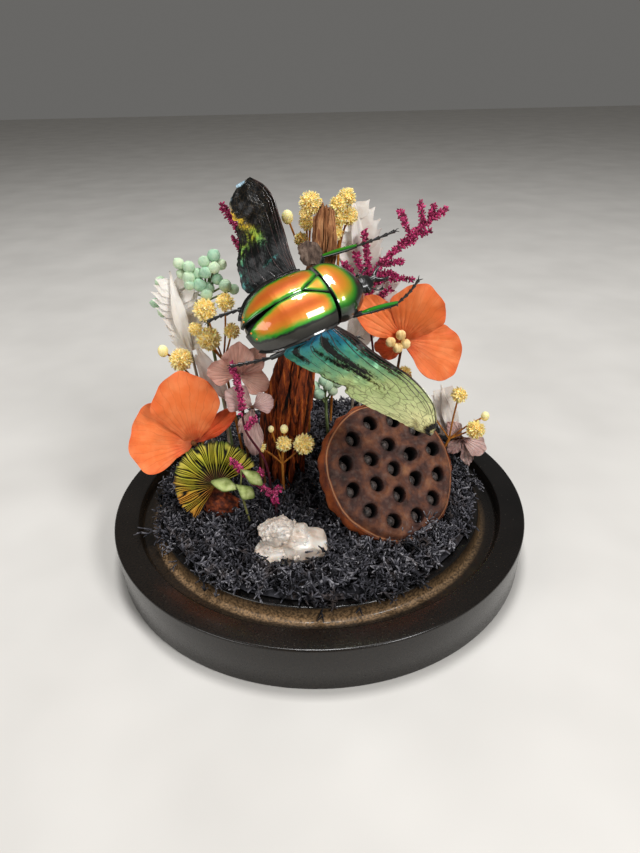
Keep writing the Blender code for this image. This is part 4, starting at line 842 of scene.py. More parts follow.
# A stalk up to the fork, and a bent twig from there to each head.
def makeCreamSprays():
    bract, stalk = creamBract(), stalkFinish("amber_stalk", "#7a4214", "#c07c2c")
    rng = np.random.default_rng(31)
    for name, (heads, fork, foot) in creamSprays.items():
        fork = np.array(fork)
        parts = [(tubes(stalkPath(fork, foot), 0.6, 8), stalk)]
        for centre, radius in heads:
            centre = np.array(centre, float)
            parts += [(s, bract) for s in everlasting(centre, radius, rng)]
            middle = (fork + centre) / 2 + (0, 0.3, 0) + rng.normal(0, 0.3, 3)
            parts.append((tubes(curve([fork, middle, centre], 16), 0.4, 6), stalk))
        addPiece(name + "_heads", parts, "cream_bloom", name)


berryRadius = 2.6
# Each spray: its berries, the trunk's lower and upper end, and its foot.
berries = {
    "green_berries_left": (
        [(-38.1, 8, 126.8), (-51.4, 6, 124.6), (-47.7, 6, 123.2), (-41.9, 7, 124.8), (-35.7, 9, 123.0),
         (-38.0, 6, 122.7), (-41.4, 5, 121.1), (-44.6, 7, 120.1), (-48.0, 5, 119.4), (-51.1, 8, 120.0),
         (-37.5, 7, 117.9), (-61.5, 15, 114.9), (-47.9, 4, 116.8), (-44.3, 5, 116.4), (-34.5, 6, 115.6),
         (-31.5, 8, 113.4), (-41.7, 4, 112.8), (-41.4, 8, 114.0), (-64.8, 15, 106.2), (-61.8, 13, 102.9)],
        [(-44.0, 14.0, 96.0), (-43.0, 12.0, 112.0)], (-40.0, 22.0)),
    "green_berries_centre": (
        [(-1, 10, 69), (3, 9, 72), (7, 10, 67), (1, 9, 66), (5, 9, 70), (9, 10, 71)],
        [(4.0, 12.0, 55.0), (4.0, 11.0, 62.0)], (6.0, 12.0)),
}


# Dried pale green berries: chalky skin with faint pits, some berries greener and some creamier.
def mintBerry():
    f = newFinish("chalky_mint_berry", Roughness=0.8, Subsurface_Weight=0.2, Specular_IOR_Level=0.25,
                  Subsurface_Radius=(0.0008, 0.001, 0.0008))
    cloud = add(f, "TexNoise", f.place, Scale=per(1.6), Detail=4.0)
    cloud = add(f, "Math", cloud, 0.5, operation="MULTIPLY")
    colour = add(f, "ValToRGB", add(f, "Math", f.tint, 0.55, cloud, operation="MULTIPLY_ADD"),
                 stops=[(0.15, "#6c9276"), (0.4, "#a0c6aa"), (0.65, "#c8debc"), (0.9, "#f2f2d2")])
    return feed(f, Base_Color=colour, Normal=add(f, "Bump", Strength=0.4, Distance=0.15 * mm, Height=add(
        f, "TexVoronoi", f.place, Scale=per(0.5))))


# Drop-shaped berries on twigs that leave the trunk below them, each twig a parabola.
def makeBerries():
    skin, stalk = mintBerry(), stalkFinish("green_stalk", "#5a6a40", "#8a9a64")
    rng = np.random.default_rng(17)
    drop = lathe(np.array([(0.08, -1.0), (0.5, -0.85), (0.87, -0.45), (1.0, 0.05), (0.84, 0.55),
                           (0.45, 0.92), (0.16, 1.12), (0.03, 1.25)]), 14)
    for name, (places, trunk, foot) in berries.items():
        places = np.array(places, float)
        low, high = np.array(trunk[0]), np.array(trunk[1])
        share = np.clip((places[:, 2] - low[2] - 6) / (high[2] - low[2]), 0.1, 0.95)[:, None]
        roots = low + (high - low) * share
        aims = unit(places - roots)
        sizes = berryRadius * rng.uniform(0.82, 1.02, len(places))
        spin = rng.uniform(0, tau, len(places))
        fruit = scatter(drop, places, turnsTo(aims + rng.normal(0, 0.2, aims.shape), spin), sizes,
                        rng.uniform(0.25, 0.9, len(places)))
        middle = (roots + places) / 2 + rng.normal(0, 0.5, places.shape)
        f = np.linspace(0, 1, 12)[None, :, None]
        paths = (1 - f) ** 2 * roots[:, None] + 2 * f * (1 - f) * middle[:, None] + f * f * places[:, None]
        parts = [(fruit, skin), (tubes(paths, 0.4, 6), stalk),
                 (tubes(np.vstack([high, low, stalkPath(low, foot)[1:]]), 0.7, 8), stalk)]
        addPiece(name + "_fruit", parts, "green_berry", name)


# Each spray: its main stalk from its foot up, its side twigs, and the height where florets start.
magentaSprays = {
    "magenta_spray_right": (
        [(27.0, 26.0), (25.0, 15.5, 78.0), (22.5, 15.0, 100.0), (24.5, 17.0, 116.0),
         (34.0, 17.0, 126.0), (43.0, 17.0, 134.0), (52.0, 17.0, 140.5)],
        [((38.5, 17.0, 130.0), (34.0, 17.0, 140.0)), ((43.0, 17.0, 134.0), (42.0, 17.0, 142.5)),
         ((32.0, 17.0, 124.0), (40.0, 17.0, 128.5)), ((27.0, 17.0, 118.0), (36.0, 17.0, 120.5)),
         ((24.0, 17.0, 112.5), (40.0, 15.5, 113.5)), ((23.0, 17.0, 108.0), (20.5, 17.5, 133.0)),
         ((23.0, 17.0, 103.0), (12.0, 17.0, 120.5)), ((22.5, 17.0, 98.0), (28.0, 16.0, 106.0)),
         ((38.0, 17.0, 129.5), (46.0, 17.0, 132.0)), ((24.2, 17.0, 114.0), (33.0, 16.5, 116.0)),
         ((23.0, 17.0, 106.0), (17.0, 16.5, 124.0)), ((23.0, 17.0, 101.0), (31.0, 16.0, 109.5)),
         ((46.0, 17.0, 136.0), (47.0, 17.0, 142.0))], 96.0),
    "magenta_spray_left": (
        [(-26.0, 24.0), (-25.0, 19.0, 100.0), (-28.0, 18.5, 130.0), (-34.5, 18.0, 143.5)],
        [((-27.0, 18.5, 120.0), (-31.0, 17.5, 131.0))], 112.0),
    "magenta_spray_front": (
        [(-17.5, -28.0), (-18.0, -28.0, 38.0), (-26.0, -27.5, 47.0), (-33.6, -27.5, 56.0)],
        [((-18.5, -28.0, 39.0), (-15.5, -29.0, 43.5)), ((-24.0, -27.8, 45.0), (-22.4, -27.0, 51.0))], 34.0),
    "magenta_spray_middle": (
        [(-19.0, -19.5), (-21.0, -20.4, 50.0), (-28.0, -20.6, 66.0), (-28.8, -19.8, 80.0),
         (-31.4, -17.0, 92.0)],
        [((-28.0, -20.6, 66.0), (-24.0, -21.2, 71.0))], 72.0),
}


# Dyed limonium: tiny crimped magenta florets packed round dark maroon twigs.
def magentaFloret():
    f = newFinish("dyed_magenta_floret", Roughness=0.7, Sheen_Weight=0.2, Specular_IOR_Level=0.25)
    return feed(f, Base_Color=add(f, "ValToRGB", f.tint, stops=[(0.0, "#3a0618"), (0.35, "#8c1248"),
                                                                (0.7, "#c82a70"), (1.0, "#f07aa8")]))


# Florets are small beads at even draws along each twig, a little way off it on all sides.
def makeMagentaSprays():
    floret, twig = magentaFloret(), stalkFinish("maroon_twig", "#2a0810", "#5c1628")
    rng = np.random.default_rng(23)
    bead = ballShape(2, 5)
    for name, (main, twigs, bare) in magentaSprays.items():
        stalk = curve([(*main[0], mossHeight(*main[0]) - 0.5), *main[1:]], 80)
        parts = [(tubes(stalk, np.linspace(0.55, 0.35, 80), 8), twig)]
        paths = [stalk[stalk[:, 2] > bare]]
        for start, tip in twigs:
            start = stalk[np.argmin(np.linalg.norm(stalk - start, axis=1))]
            middle = (start + np.array(tip)) / 2 + (0, 0, 0.06 * np.linalg.norm(np.array(tip) - start))
            paths.append(curve([start, middle, tip], 24))
            parts.append((tubes(paths[-1], 0.3, 6), twig))
        for path in paths:
            length = np.linalg.norm(np.diff(path, axis=0), axis=1).sum()
            count = int(length * 15)
            spot = rng.uniform(0.05, 1, count) * (len(path) - 1.001)
            k = spot.astype(int)
            at = path[k] + (path[k + 1] - path[k]) * (spot - k)[:, None]
            aim = unit(rng.normal(size=(count, 3)) + 0.5 * unit(path[-1] - path[0]))
            sizes = rng.uniform(0.34, 0.66, (count, 1)) * vec(0.7, 0.7, 1.6)
            parts.append((scatter(bead, at + aim * rng.uniform(0.4, 1.5, (count, 1)),
                                  turnsTo(aim, rng.uniform(0, tau, count)), sizes,
                                  rng.beta(2, 2, count)), floret))
        addPiece(name + "_florets", parts, "magenta_bloom", name)


# Where the stalks meet, the stem's foot, and each leaf as start, tip, facing and width.
sprig = {"join": (-30.8, -30.6, 45.0), "foot": (-27.5, -31.5),
         "leaves": [((-30.8, -30.6, 45.0), (-42.0, -30.0, 48.2), (0.0, -0.8, 0.6), 5.6),
                    ((-32.0, -31.4, 47.4), (-25.5, -31.6, 41.4), (0.2, -0.9, 0.4), 6.0),
                    ((-29.8, -30.0, 53.6), (-22.0, -30.6, 46.6), (0.4, -0.8, 0.4), 5.2)]}


# Small preserved leaves: soft yellow-green and matt, darker towards the edge.
def sprigLeaf():
    f = newFinish("preserved_green_leaf", Roughness=0.6, Subsurface_Weight=0.2, Specular_IOR_Level=0.35,
                  Subsurface_Radius=(0.0007, 0.001, 0.0004))
    cloud = add(f, "TexNoise", f.place, Scale=per(2.5), Detail=4.0)
    colour = add(f, "ValToRGB", cloud, stops=[(0.3, "#7f8a48"), (0.5, "#a9b470"), (0.7, "#c6cc92")])
    return feed(f, Base_Color=add(f, "MixRGB", f.tint, colour, "#5c6a30"),
                Normal=add(f, "Bump", Strength=0.3, Distance=0.2 * mm, Height=cloud))


# Three cupped leaves with a middle vein, their short stalks and the stem.
def makeSprig():
    leaf, stalk = sprigLeaf(), stalkFinish("sprig_stalk", "#5a5a30", "#8a8a50")
    join = np.array(sprig["join"])
    parts = [(petal(*spec, 0.4, 0.35, cup=0.6, bow=0.16, wavy=0.01, veins=1, rows=34, cols=28), leaf)
             for spec in sprig["leaves"]]
    parts.append((tubes(stalkPath(join, sprig["foot"]), 0.45, 8), stalk))
    for start, *rest in sprig["leaves"][1:]:
        parts.append((tubes(curve([join, (join + start) / 2 + (0.3, -0.2, 0.3), start], 12), 0.35, 8), stalk))
    addPiece("green_leaf_sprig_leaves", parts, "green_leaf", "green_leaf_sprig")


def makeBarkFlake():
    # Weathered bark: grey-brown and dry, with short upright fibres.
    bark = mottled("grey_bark", 1.2, 6.0, [(0.3, "#2a201c"), (0.5, "#5e4c42"), (0.7, "#8c786a")],
                   (0.8, 0.4), 0.25, 0.65, Roughness=0.85, Specular_IOR_Level=0.25)
    flake = petal((2.8, -10.2, 128.2), (-4.6, -9.6, 134.6), (0.1, -0.9, 0.35), 8.8, neck=0.8, point=0.35,
                  cup=-0.1, bow=0.05, ruffle=0.35, wavy=0.05, thick=1.2, seed=4)
    addPiece("bark_flake_rough", [(flake, bark)], "bark", "bark_flake")


pod = {"centre": vec(30.2, -23.6, 47.9), "facing": vec(0.36, -0.65, 0.67), "radius": 28.6,
       "holeRadius": 2.95, "holeDepth": 6.5, "seedRadius": 2.3, "seedDepth": 4.6, "cells": 230, "rows": 36,
       "profile": [(1.0, -2.2), (1.025, -5.5), (0.98, -9.5), (0.80, -14.5), (0.5, -19.5), (0.18, -23.5),
                   (0.11, -26.5)]}


# The pod's own axes as rows: right and up over its face, and out of it.
def podAxes():
    facing = unit(pod["facing"])
    right = unit(np.cross(vec(0, 0, 1), facing))
    return np.stack([right, np.cross(facing, right), facing])


# Seed holes: one in the middle, six and twelve on two circles round it.
def podHoles():
    places = []
    for count, ring, start in ((1, 0.0, 0.0), (6, 0.36, 0.35), (12, 0.72, 0.12)):
        angle = start + tau * np.arange(count) / count
        places.append(ring * np.stack([np.cos(angle), np.sin(angle)], -1))
    return np.concatenate(places) * pod["radius"]


# Dried lotus pod: leathery red-brown skin with grey bloom, a pale worn rim and a russet side. Painted shade
# turns the seed chambers black and dims a ring round each one.
def podSkin():
    f = newFinish("dried_lotus_skin", Roughness=0.7, Specular_IOR_Level=0.35)
    patch = add(f, "TexNoise", f.place, Scale=per(7), Detail=7.0, Roughness=0.6)
    colour = add(f, "ValToRGB", patch, stops=[(0.28, "#1c0f0b"), (0.44, "#40231a"), (0.58, "#643a24"),
                                              (0.78, "#8c6040")])
    grey = add(f, "ValToRGB", add(f, "TexNoise", f.place, Scale=per(2.2), Detail=6.0),
               stops=[(0.5, 0.0), (0.75, 0.45)])
    colour = add(f, "MixRGB", grey, colour, "#6d5a50")
    # Painted shade: this multiply falls to near black down the seed chambers and dims a ring round each lip.
    shade = add(f, "ValToRGB", f.tint, stops=[(0.0, "#020101"), (0.25, "#080403"), (0.4, "#7a5848"),
                                              (0.5, "#ffffff")])
    colour = add(f, "MixRGB", 1.0, colour, shade, blend_type="MULTIPLY")
    russet = add(f, "ValToRGB", patch, stops=[(0.3, "#5c240e"), (0.6, "#9a4a1c")])
    outside = add(f, "ValToRGB", f.tint, stops=[(0.66, 0.0), (0.74, 0.85)])
    rim = add(f, "ValToRGB", f.tint, stops=[(0.86, 0.0), (0.94, 0.75)])
    colour = add(f, "MixRGB", rim, add(f, "MixRGB", outside, colour, russet), "#a8805c")
    grain = add(f, "TexNoise", f.place, Scale=per(1.3), Detail=6.0, Roughness=0.6)
    return feed(f, Base_Color=colour, Normal=add(f, "Bump", Strength=0.7, Distance=0.5 * mm, Height=grain))


# Face over a disc, with a rounded rim and seed chambers: depth is a steep step at the hole's
# radius, and a low lip stands round it. The side follows the profile down to the stalk end.
def makePod():
    skin = podSkin()
    axes, n, r = podAxes(), pod["cells"], pod["radius"]
    y, x = (side * r for side in disc(n, n))
    away = np.hypot(x, y)
    turn = np.arctan2(y, x)
    wave = 1 + 0.012 * np.sin(3 * turn + 0.6) + 0.008 * np.sin(7 * turn + 2.0)
    flat = np.stack([x, y, 0 * x], -1)
    z = 0.5 - 0.3 * (away / r) ** 2 - 2.4 * ease(away / r, 0.86, 1.0) ** 1.5
    z += 0.35 * lumps(flat, 9.0, 51) + 0.18 * lumps(flat, 3.0, 52)
    gap = np.full(x.shape, 1e9)  # distance to the nearest hole's middle
    holes = podHoles()
    for k, (px, py) in enumerate(holes):
        d = np.hypot(x - px, y - py) / (1 + 0.06 * np.sin(2 * np.arctan2(y - py, x - px) + k))
        gap = np.minimum(gap, d)
    hole = 1 - ease(gap, pod["holeRadius"] - 0.3, pod["holeRadius"] + 0.08)
    z += 0.45 * near(gap, 3.7, 0.9) - pod["holeDepth"] * hole
    # Tint falls to 0 down each hole and a little round its lip, which the skin paints as shade; it rises on
    # the worn rim.
    tint = 0.5 - 0.5 * hole - 0.06 * near(gap, 3.4, 0.5) + 0.5 * near(away / r, 0.972, 0.014)
    face = np.stack([x * wave, y * wave, z], -1)
    rim = rimOf(n, n)
    edge = face.reshape(-1, 3)[rim]
    profile = [(1.0, edge[:, 2].mean() / r), *[(p, q / r) for p, q in pod["profile"]]]
    profile = curve(profile, pod["rows"])
    angle = np.arctan2(edge[:, 1], edge[:, 0])[None]
    level = np.arange(pod["rows"])[:, None]
    ribs = 1 + 0.012 * np.sin(19 * angle + 0.08 * level) * np.sin(math.pi * level / (pod["rows"] - 1))
    share = np.minimum(level / 2, 1)
    side = edge[None] * (1, 1, 0) * (profile[:, :1] * ribs)[..., None]
    side[..., 2] = profile[:, 1:] * r * share + edge[None, :, 2] * (1 - share)
    side[..., :2] += (0.5 * lumps(side, 6.0, 53) * share)[..., None] * unit(side[..., :2])
    top, wall = grid(face, tint=tint), closedRings(side, 0.8 + 0 * side[..., 0])
    wall["faces"] = [wall["faces"][0], wall["faces"][2]]
    wall["uvs"] = [wall["uvs"][0], wall["uvs"][2]]
    body = joined([top, wall])
    body["points"] = body["points"] @ axes + pod["centre"]
    lookup = np.arange(len(body["points"]))
    lookup[n * n:n * n + len(rim)] = rim
    body["faces"] = [lookup[f] for f in body["faces"]]
    seeds = ballShape(8, 12)
    rng = np.random.default_rng(6)
    spots = holes + rng.normal(0, 0.35, holes.shape)
    spots = np.column_stack([spots, np.full(len(holes), -pod["seedDepth"])])
    turns = np.broadcast_to(axes.T, (len(spots), 3, 3))
    nuts = scatter(seeds, spots @ axes + pod["centre"], turns, np.full(len(spots), pod["seedRadius"]), 0.8)
    grey = mottled("lotus_seed", 0.9, 4.0, [(0.35, "#1c1614"), (0.7, "#6a5e58")], Roughness=0.6)
    addPiece("lotus_pod_skin", [(body, skin), (nuts, grey)], "pod", "lotus_pod", sharp=60)


quartz = {"middle": (-10.3, -47.3, 32.2), "size": (14.3, 7.8, 11.2), "points": 220,
          "lobes": [((0.78, 1.0, 0.68), (3.0, 0.0, -3.0)), ((0.5, 0.8, 0.5), (-5.4, 0.2, 4.0)),
                    ((0.5, 0.95, 0.5), (-6.8, -0.6, -4.2)), ((0.5, 0.8, 0.56), (0.2, 0.1, 1.2))]}


# Milky quartz: cloudy silica, part of whose light passes through, with a grey crust above. IOR 1.54.
def milkyQuartz():
    f = newFinish("milky_quartz", Roughness=0.32, IOR=1.544, Transmission_Weight=0.25,
                  Subsurface_Weight=0.45, Subsurface_Radius=(0.004, 0.0032, 0.0026))
    colour = add(f, "ValToRGB", add(f, "TexNoise", f.place, Scale=per(4), Detail=6.0),
                 stops=[(0.3, "#dcc4b0"), (0.48, "#f2e4d6"), (0.7, "#fdf8f2")])
    grain = add(f, "TexNoise", f.place, Scale=per(1.2), Detail=6.0)
    grey = add(f, "ValToRGB", grain, stops=[(0.4, 0.0), (0.62, 0.65)])
    colour = add(f, "MixRGB", add(f, "Math", grey, f.tint, operation="MULTIPLY"), colour, "#a19a95")
    return feed(f, Base_Color=colour, Normal=add(f, "Bump", Strength=0.5, Distance=0.4 * mm, Height=grain))


# Lump: ellipsoid lobes flattened by random planes. Small six-sided points stand out of the crust.
def makeQuartz():
    q, rng = quartz, np.random.default_rng(8)
    finish, size, middle = milkyQuartz(), np.array(q["size"]), np.array(q["middle"])
    parts = []
    for k, (scale, shift) in enumerate(q["lobes"]):
        s = ballShape(60, 90)
        p = s["points"]
        planes = unit(rng.normal(size=(56, 3)))
        cut = np.min(rng.uniform(0.86, 1.0, 56) / np.maximum(p @ planes.T, 1e-3), axis=1)
        core = p * np.minimum(cut, 1.1)[:, None] * (1 + 0.05 * lumps(p * 6, 3.0, 71 + k)[:, None])
        core = core * size * scale + middle + shift
        crust = ease(core[:, 2] - 0.35 * core[:, 0], 40, 44)
        core = core + unit(core - middle) * (0.35 * crust * lumps(core, 1.3, 75))[:, None]
        parts.append(({**s, "points": core, "tint": crust}, finish))
    prism = closedRings(roundRings(0.34 * vec(0.9, 1.0, 0.08)[:, None], vec(0.0, 0.6, 1.0)[:, None], 6))
    aims = sphereSpread(q["points"]) + rng.normal(0, 0.25, (q["points"], 3))
    aims = unit(aims[aims[:, 2] > -0.1])
    share, offset = (np.array(v)[np.arange(len(aims)) % 4] for v in zip(*q["lobes"]))
    places = aims * 0.74 * share * size + middle + offset
    sizes = rng.uniform(1.2, 2.8, len(aims)) * np.where(aims[:, 0] - aims[:, 2] < -0.2, 1.0, 0.8)
    parts.append((scatter(prism, places, turnsTo(unit(aims / size) + rng.normal(0, 0.3, aims.shape),
                                                 rng.uniform(0, tau, len(aims))),
                          sizes, ease(places[:, 2] - 0.35 * places[:, 0], 40, 44)), finish))
    addPiece("quartz_crystals", parts, "quartz", "quartz_cluster", sharp=22)


fungus = {"centre": vec(-41.0, -23.5, 43.4), "radius": 17.0, "normal": vec(0.05, -0.95, 0.30),
          "first": 22.0, "last": 237.0, "gills": 27, "foot": vec(-40.0, -22.9, 31.4)}


# Dyed gilled bracket: thin dry gills, yellow-green on their crests, orange low down on the left and
# brown-purple at the middle. The black between the gills is painted shade.
def gillFinish():
    f = newFinish("dyed_gill_shaded_gaps", Roughness=0.75, Specular_IOR_Level=0.25)
    axes = add(f, "SeparateXYZ", f.uv).node.outputs
    crest = add(f, "ValToRGB", axes["Y"], stops=[(0.0, "#4a2620"), (0.22, "#6e4a2c"), (0.45, "#a08a26"),
                                                 (0.7, "#b4a82e"), (0.93, "#c0b04c"), (1.0, "#2a1c10")])
    low = add(f, "ValToRGB", axes["X"], stops=[(0.66, 0.0), (0.82, 0.75)])
    patch = add(f, "ValToRGB", add(f, "TexNoise", f.place, Scale=per(5), Detail=4.0),
                stops=[(0.4, 0.0), (0.7, 0.6)])
    crest = add(f, "MixRGB", patch, add(f, "MixRGB", low, crest, "#c87c2c"), "#7f9a30")
    # Painted shade: where the tint (the gill's height) is low, between the gills and in the crack, the colour
    # goes black.
    ridge = add(f, "ValToRGB", f.tint, stops=[(0.3, 0.0), (0.7, 1.0)])
    return feed(f, Base_Color=add(f, "MixRGB", ridge, "#070504", crest))


# Fan of gills: height is a ridge wave of the angle, doubled in number past the middle. The rim is spiky where
# gills end, and one crack runs in from it, black by painted shade.
def makeFungus():
    g = fungus
    normal = unit(g["normal"])
    right = unit(np.cross(vec(0, 0, 1), normal))
    up = np.cross(normal, right)
    rows, cols = 44, g["gills"] * 32
    reach = np.linspace(0.06, 1, rows)[:, None]
    share = np.linspace(0, 1, cols)[None]
    angle = np.radians(g["first"] + (g["last"] - g["first"]) * share)
    bend = 0.012 * np.sin(9 * angle + 5 * reach) + 0.01 * np.sin(23 * angle)
    first = np.abs(np.cos(math.pi * g["gills"] * (share + bend * reach))) ** 5
    second = np.abs(np.sin(math.pi * g["gills"] * (share + bend * reach))) ** 5
    gill = np.maximum(first, second * ease(reach, 0.4, 0.58) * 0.92)
    crack = near(angle, 2.05 + 0.25 * reach, 0.03 + 0.03 * reach) * ease(reach, 0.1, 0.3)
    gill = gill * (1 - 0.9 * crack * (1 - ease(reach, 0.7, 0.8)))
    frill = 0.06 * gill + 0.02 * np.sin(31 * angle) * np.sin(17 * angle)
    radius = g["radius"] * reach * (1 + (frill - 0.05) * reach ** 6)
    rise = 2.3 + 1.4 * (1 - reach) - 0.9 * reach ** 2 + 1.3 * (gill - 1) * np.minimum(1, 2 * reach)
    rise = rise + 0.5 * np.sin(5 * angle + 1) * reach
    place = (g["centre"] + (radius * np.cos(angle))[..., None] * right
             + (radius * np.sin(angle))[..., None] * up)
    front = place + rise[..., None] * normal
    back = place - (0.9 - 0.4 * reach)[..., None] * normal
    fan = shell(front, back, gill)
    # Tint is the gill's height on the front: low between the gills, where the finish paints shade.
    fan["tint"] = np.concatenate([gill.ravel(), np.full(gill.size, 0.5)])
    foot = mottled("fungus_foot", 1.8, 6.0, [(0.3, "#200a06"), (0.5, "#6a2a12"), (0.7, "#a8501e")],
                   (0.8, 0.5), Roughness=0.8)
    parts = [(fan, gillFinish())]
    for scale, at in (((7.5, 3.7, 6.0), g["foot"]), ((4.0, 2.4, 8.4), g["foot"] + (-0.5, 0.2, 7.5))):
        s = ballAt(np.zeros(3), 1.0, 40, 60)
        bumpy = 1 + 0.12 * lumps(s["points"] * 5, 2.4, 81)[:, None]
        parts.append(({**s, "points": s["points"] * scale * bumpy + at}, foot))
    addPiece("gilled_fungus_fan", parts, "fungus", "gilled_fungus", sharp=80)


# The beetle's own frame: x forward, y to its left, z up, from the joint of wing cases and collar.
pose = {"origin": vec(3.7, -23.5, 121.5), "forward": vec(0.873, 0.439, 0.212),
        "left": vec(-0.485, 0.734, 0.476)}
poseForward = unit(pose["forward"])
poseLeft = unit(pose["left"] - poseForward * (poseForward @ pose["left"]))
poseAxes = np.stack([poseForward, poseLeft, np.cross(poseForward, poseLeft)])


# From the beetle's own frame to the scene's.
def posed(s):
    return {**s, "points": s["points"] @ poseAxes + pose["origin"]}


wingCase = {"scutellumHalf": 4.6, "scutellumLength": 8.9, "gap": 0.1, "split": 0.12, "splitFrom": -18.0,
            "length": 30.5, "thick": 0.9, "border": 4.4, "rows": 150, "cols": 90,
            "crown": ([-31.5, -29, -25, -19, -12, -5, 0], [-3.2, -0.6, 2.2, 4.7, 5.7, 5.6, 5.0]),
            "half": ([-31.5, -30, -28, -24, -18, -10, -4, 0], [2.5, 6.0, 9.0, 12.0, 13.5, 13.8, 13.6, 12.4]),
            "knobs": ((0.925, 0.42), (0.945, 0.16))}


# Value of a table at x, smoothed by averaging nearby readings.
def smoothTable(x, table):
    return sum(np.interp(x + d, *table) * w for d, w in ((-1.6, 0.25), (0, 0.5), (1.6, 0.25)))


# Beetle cuticle: layered chitin that shines like metal under a clear wax coat. Its colour follows
# the tint, which is a distance from the plate's edges, broken by lengthwise streaks.
def cuticle(name, stops, streak=0.0):
    f = newFinish(name, Roughness=0.42, Metallic=0.35, Coat_Weight=1.0, Coat_Roughness=0.05)
    cloud = add(f, "TexNoise", f.place, Scale=per(4), Detail=4.0)
    turned = add(f, "Mapping", f.place, Rotation=(0.0, 0.22, -0.49))
    fibre = add(f, "TexNoise", add(f, "Mapping", turned, Scale=(0.12, 1.0, 1.0)), Scale=per(1.0), Detail=4.0)
    shift = add(f, "Math", cloud, 0.08, -0.04, operation="MULTIPLY_ADD")
    drift = add(f, "Math", fibre, streak, -0.5 * streak, operation="MULTIPLY_ADD")
    value = add(f, "Math", f.tint, add(f, "Math", shift, drift, operation="ADD"), operation="ADD")
    inner = add(f, "ValToRGB", f.tint, stops=[(0.5, 0.0), (0.6, 1.0)])
    scratch = add(f, "ValToRGB", fibre, stops=[(0.24, 0.7), (0.29, 0.0)])
    scratch = add(f, "Math", scratch, inner, operation="MULTIPLY")
    colour = add(f, "MixRGB", scratch, add(f, "ValToRGB", value, stops=stops), "#3a2a10")
    pits = add(f, "MixRGB", 0.5, fibre, add(f, "TexVoronoi", f.place, Scale=per(0.45)))
    return feed(f, Base_Color=colour, Normal=add(f, "Bump", Strength=0.15, Distance=0.1 * mm, Height=pits))


# Soft least of several distances in mm: minus the log of the sum of exp(-k d), over k.
def nearest(distances, k=1.4):
    return -np.log(sum(np.exp(-k * d) for d in distances)) / k


# Wing case: from the seam the height falls with the power 2.7 of the way to the margin; it is cut
# back beside the scutellum and its tip is rounded. The inner face lies one thickness inside. Tint
# runs with the distance from the grey border, the seam, the front and the tip.
def makeWingCase(name, hand, finish):
    w = wingCase
    s = np.linspace(0, 1, w["rows"])[:, None]
    t = np.linspace(0, 1, w["cols"])[None]
    x = -0.8 - w["length"] * s - 1.6 * t ** 3 * (1 - s) ** 4 + 2.6 * t ** 2 * s ** 8
    half = smoothTable(x, w["half"])
    seam = np.maximum(0.0, w["scutellumHalf"] * (1 + x / w["scutellumLength"])) + w["gap"]
    seam = seam + w["split"] * np.maximum(0, w["splitFrom"] - x)
    y = seam + (half - seam) * np.sin(t * math.pi / 2)
    z = smoothTable(x, w["crown"]) - 6.4 * (y / (half + 0.2)) ** 2.7
    z = z - 0.45 * near(y, seam, 0.5) + 0.3 * near(t, 0.97, 0.03)
    outer = np.stack([x, hand * y, z], -1)
    inner = outer + gridNormals(outer) * hand * w["thick"]
    step = np.linalg.norm(np.diff(outer, axis=1), axis=2)
    run = np.concatenate([0 * step[:, :1], np.cumsum(step, 1)], 1)
    fromFront, fromTip = w["length"] * s + 0.3 + 0 * run, w["length"] * (1 - s) - 1.2 + 0 * run
    depth = nearest([run[:, -1:] - run - w["border"], 1.3 * run, fromFront, fromTip])
    depth = depth + 0.3 * lumps(outer, 5.0, 61) * ease(depth, 0.5, 2.0)
    tint = np.clip((depth + 4.6) / 12, 0, 1)
    parts = [(posed(shell(outer, inner, tint)), finish)]
    # Knobs near the tip: small bumps, whose fixed tint 0.66 paints them orange-gold against the yellow-green
    # tip, a painted glint on each.
    for i, j in w["knobs"]:
        spot = outer[int(i * w["rows"]), int(j * w["cols"])]
        parts.append((posed(ballAt(spot, vec(0.42, 0.42, 0.3), 8, 12, 0.66)), finish))
    addPiece(name + "_shell", parts, "wing_case", name, sharp=60)


# Closed rings square to x: a superellipse, whose cosine and sine are raised to a power.
def crossSection(x, half, middle, high, low, turn, power=0.85):
    c, s = np.cos(turn), np.sin(turn)
    rise = np.where(s > 0, high, low)
    return np.stack([x + 0 * c, half * np.sign(c) * np.abs(c) ** power,
                     middle + rise * np.sign(s) * np.abs(s) ** power], -1)


# Foot of a leg: five cones that widen outwards, then two hooked claws.
def foot(points, size):
    path = curve(points, 71)
    s = np.linspace(0, 1, 71) * 4.999
    radius = size * (0.55 + 0.6 * (s % 1.0) ** 1.5)
    aim = unit(path[-1] - path[-4])
    side = unit(np.cross(aim, vec(0.2, 0.1, 1.0)))
    claws = [curve([path[-1], path[-1] + aim * 0.9 + h * side * 0.7,
                    path[-1] + aim * 1.7 + h * side * 1.0 - (0, 0, 0.5)], 8) for h in (-1, 1)]
    return joined([tubes(path, radius, 10), tubes(np.array(claws), np.linspace(0.24, 0.07, 8), 6)])


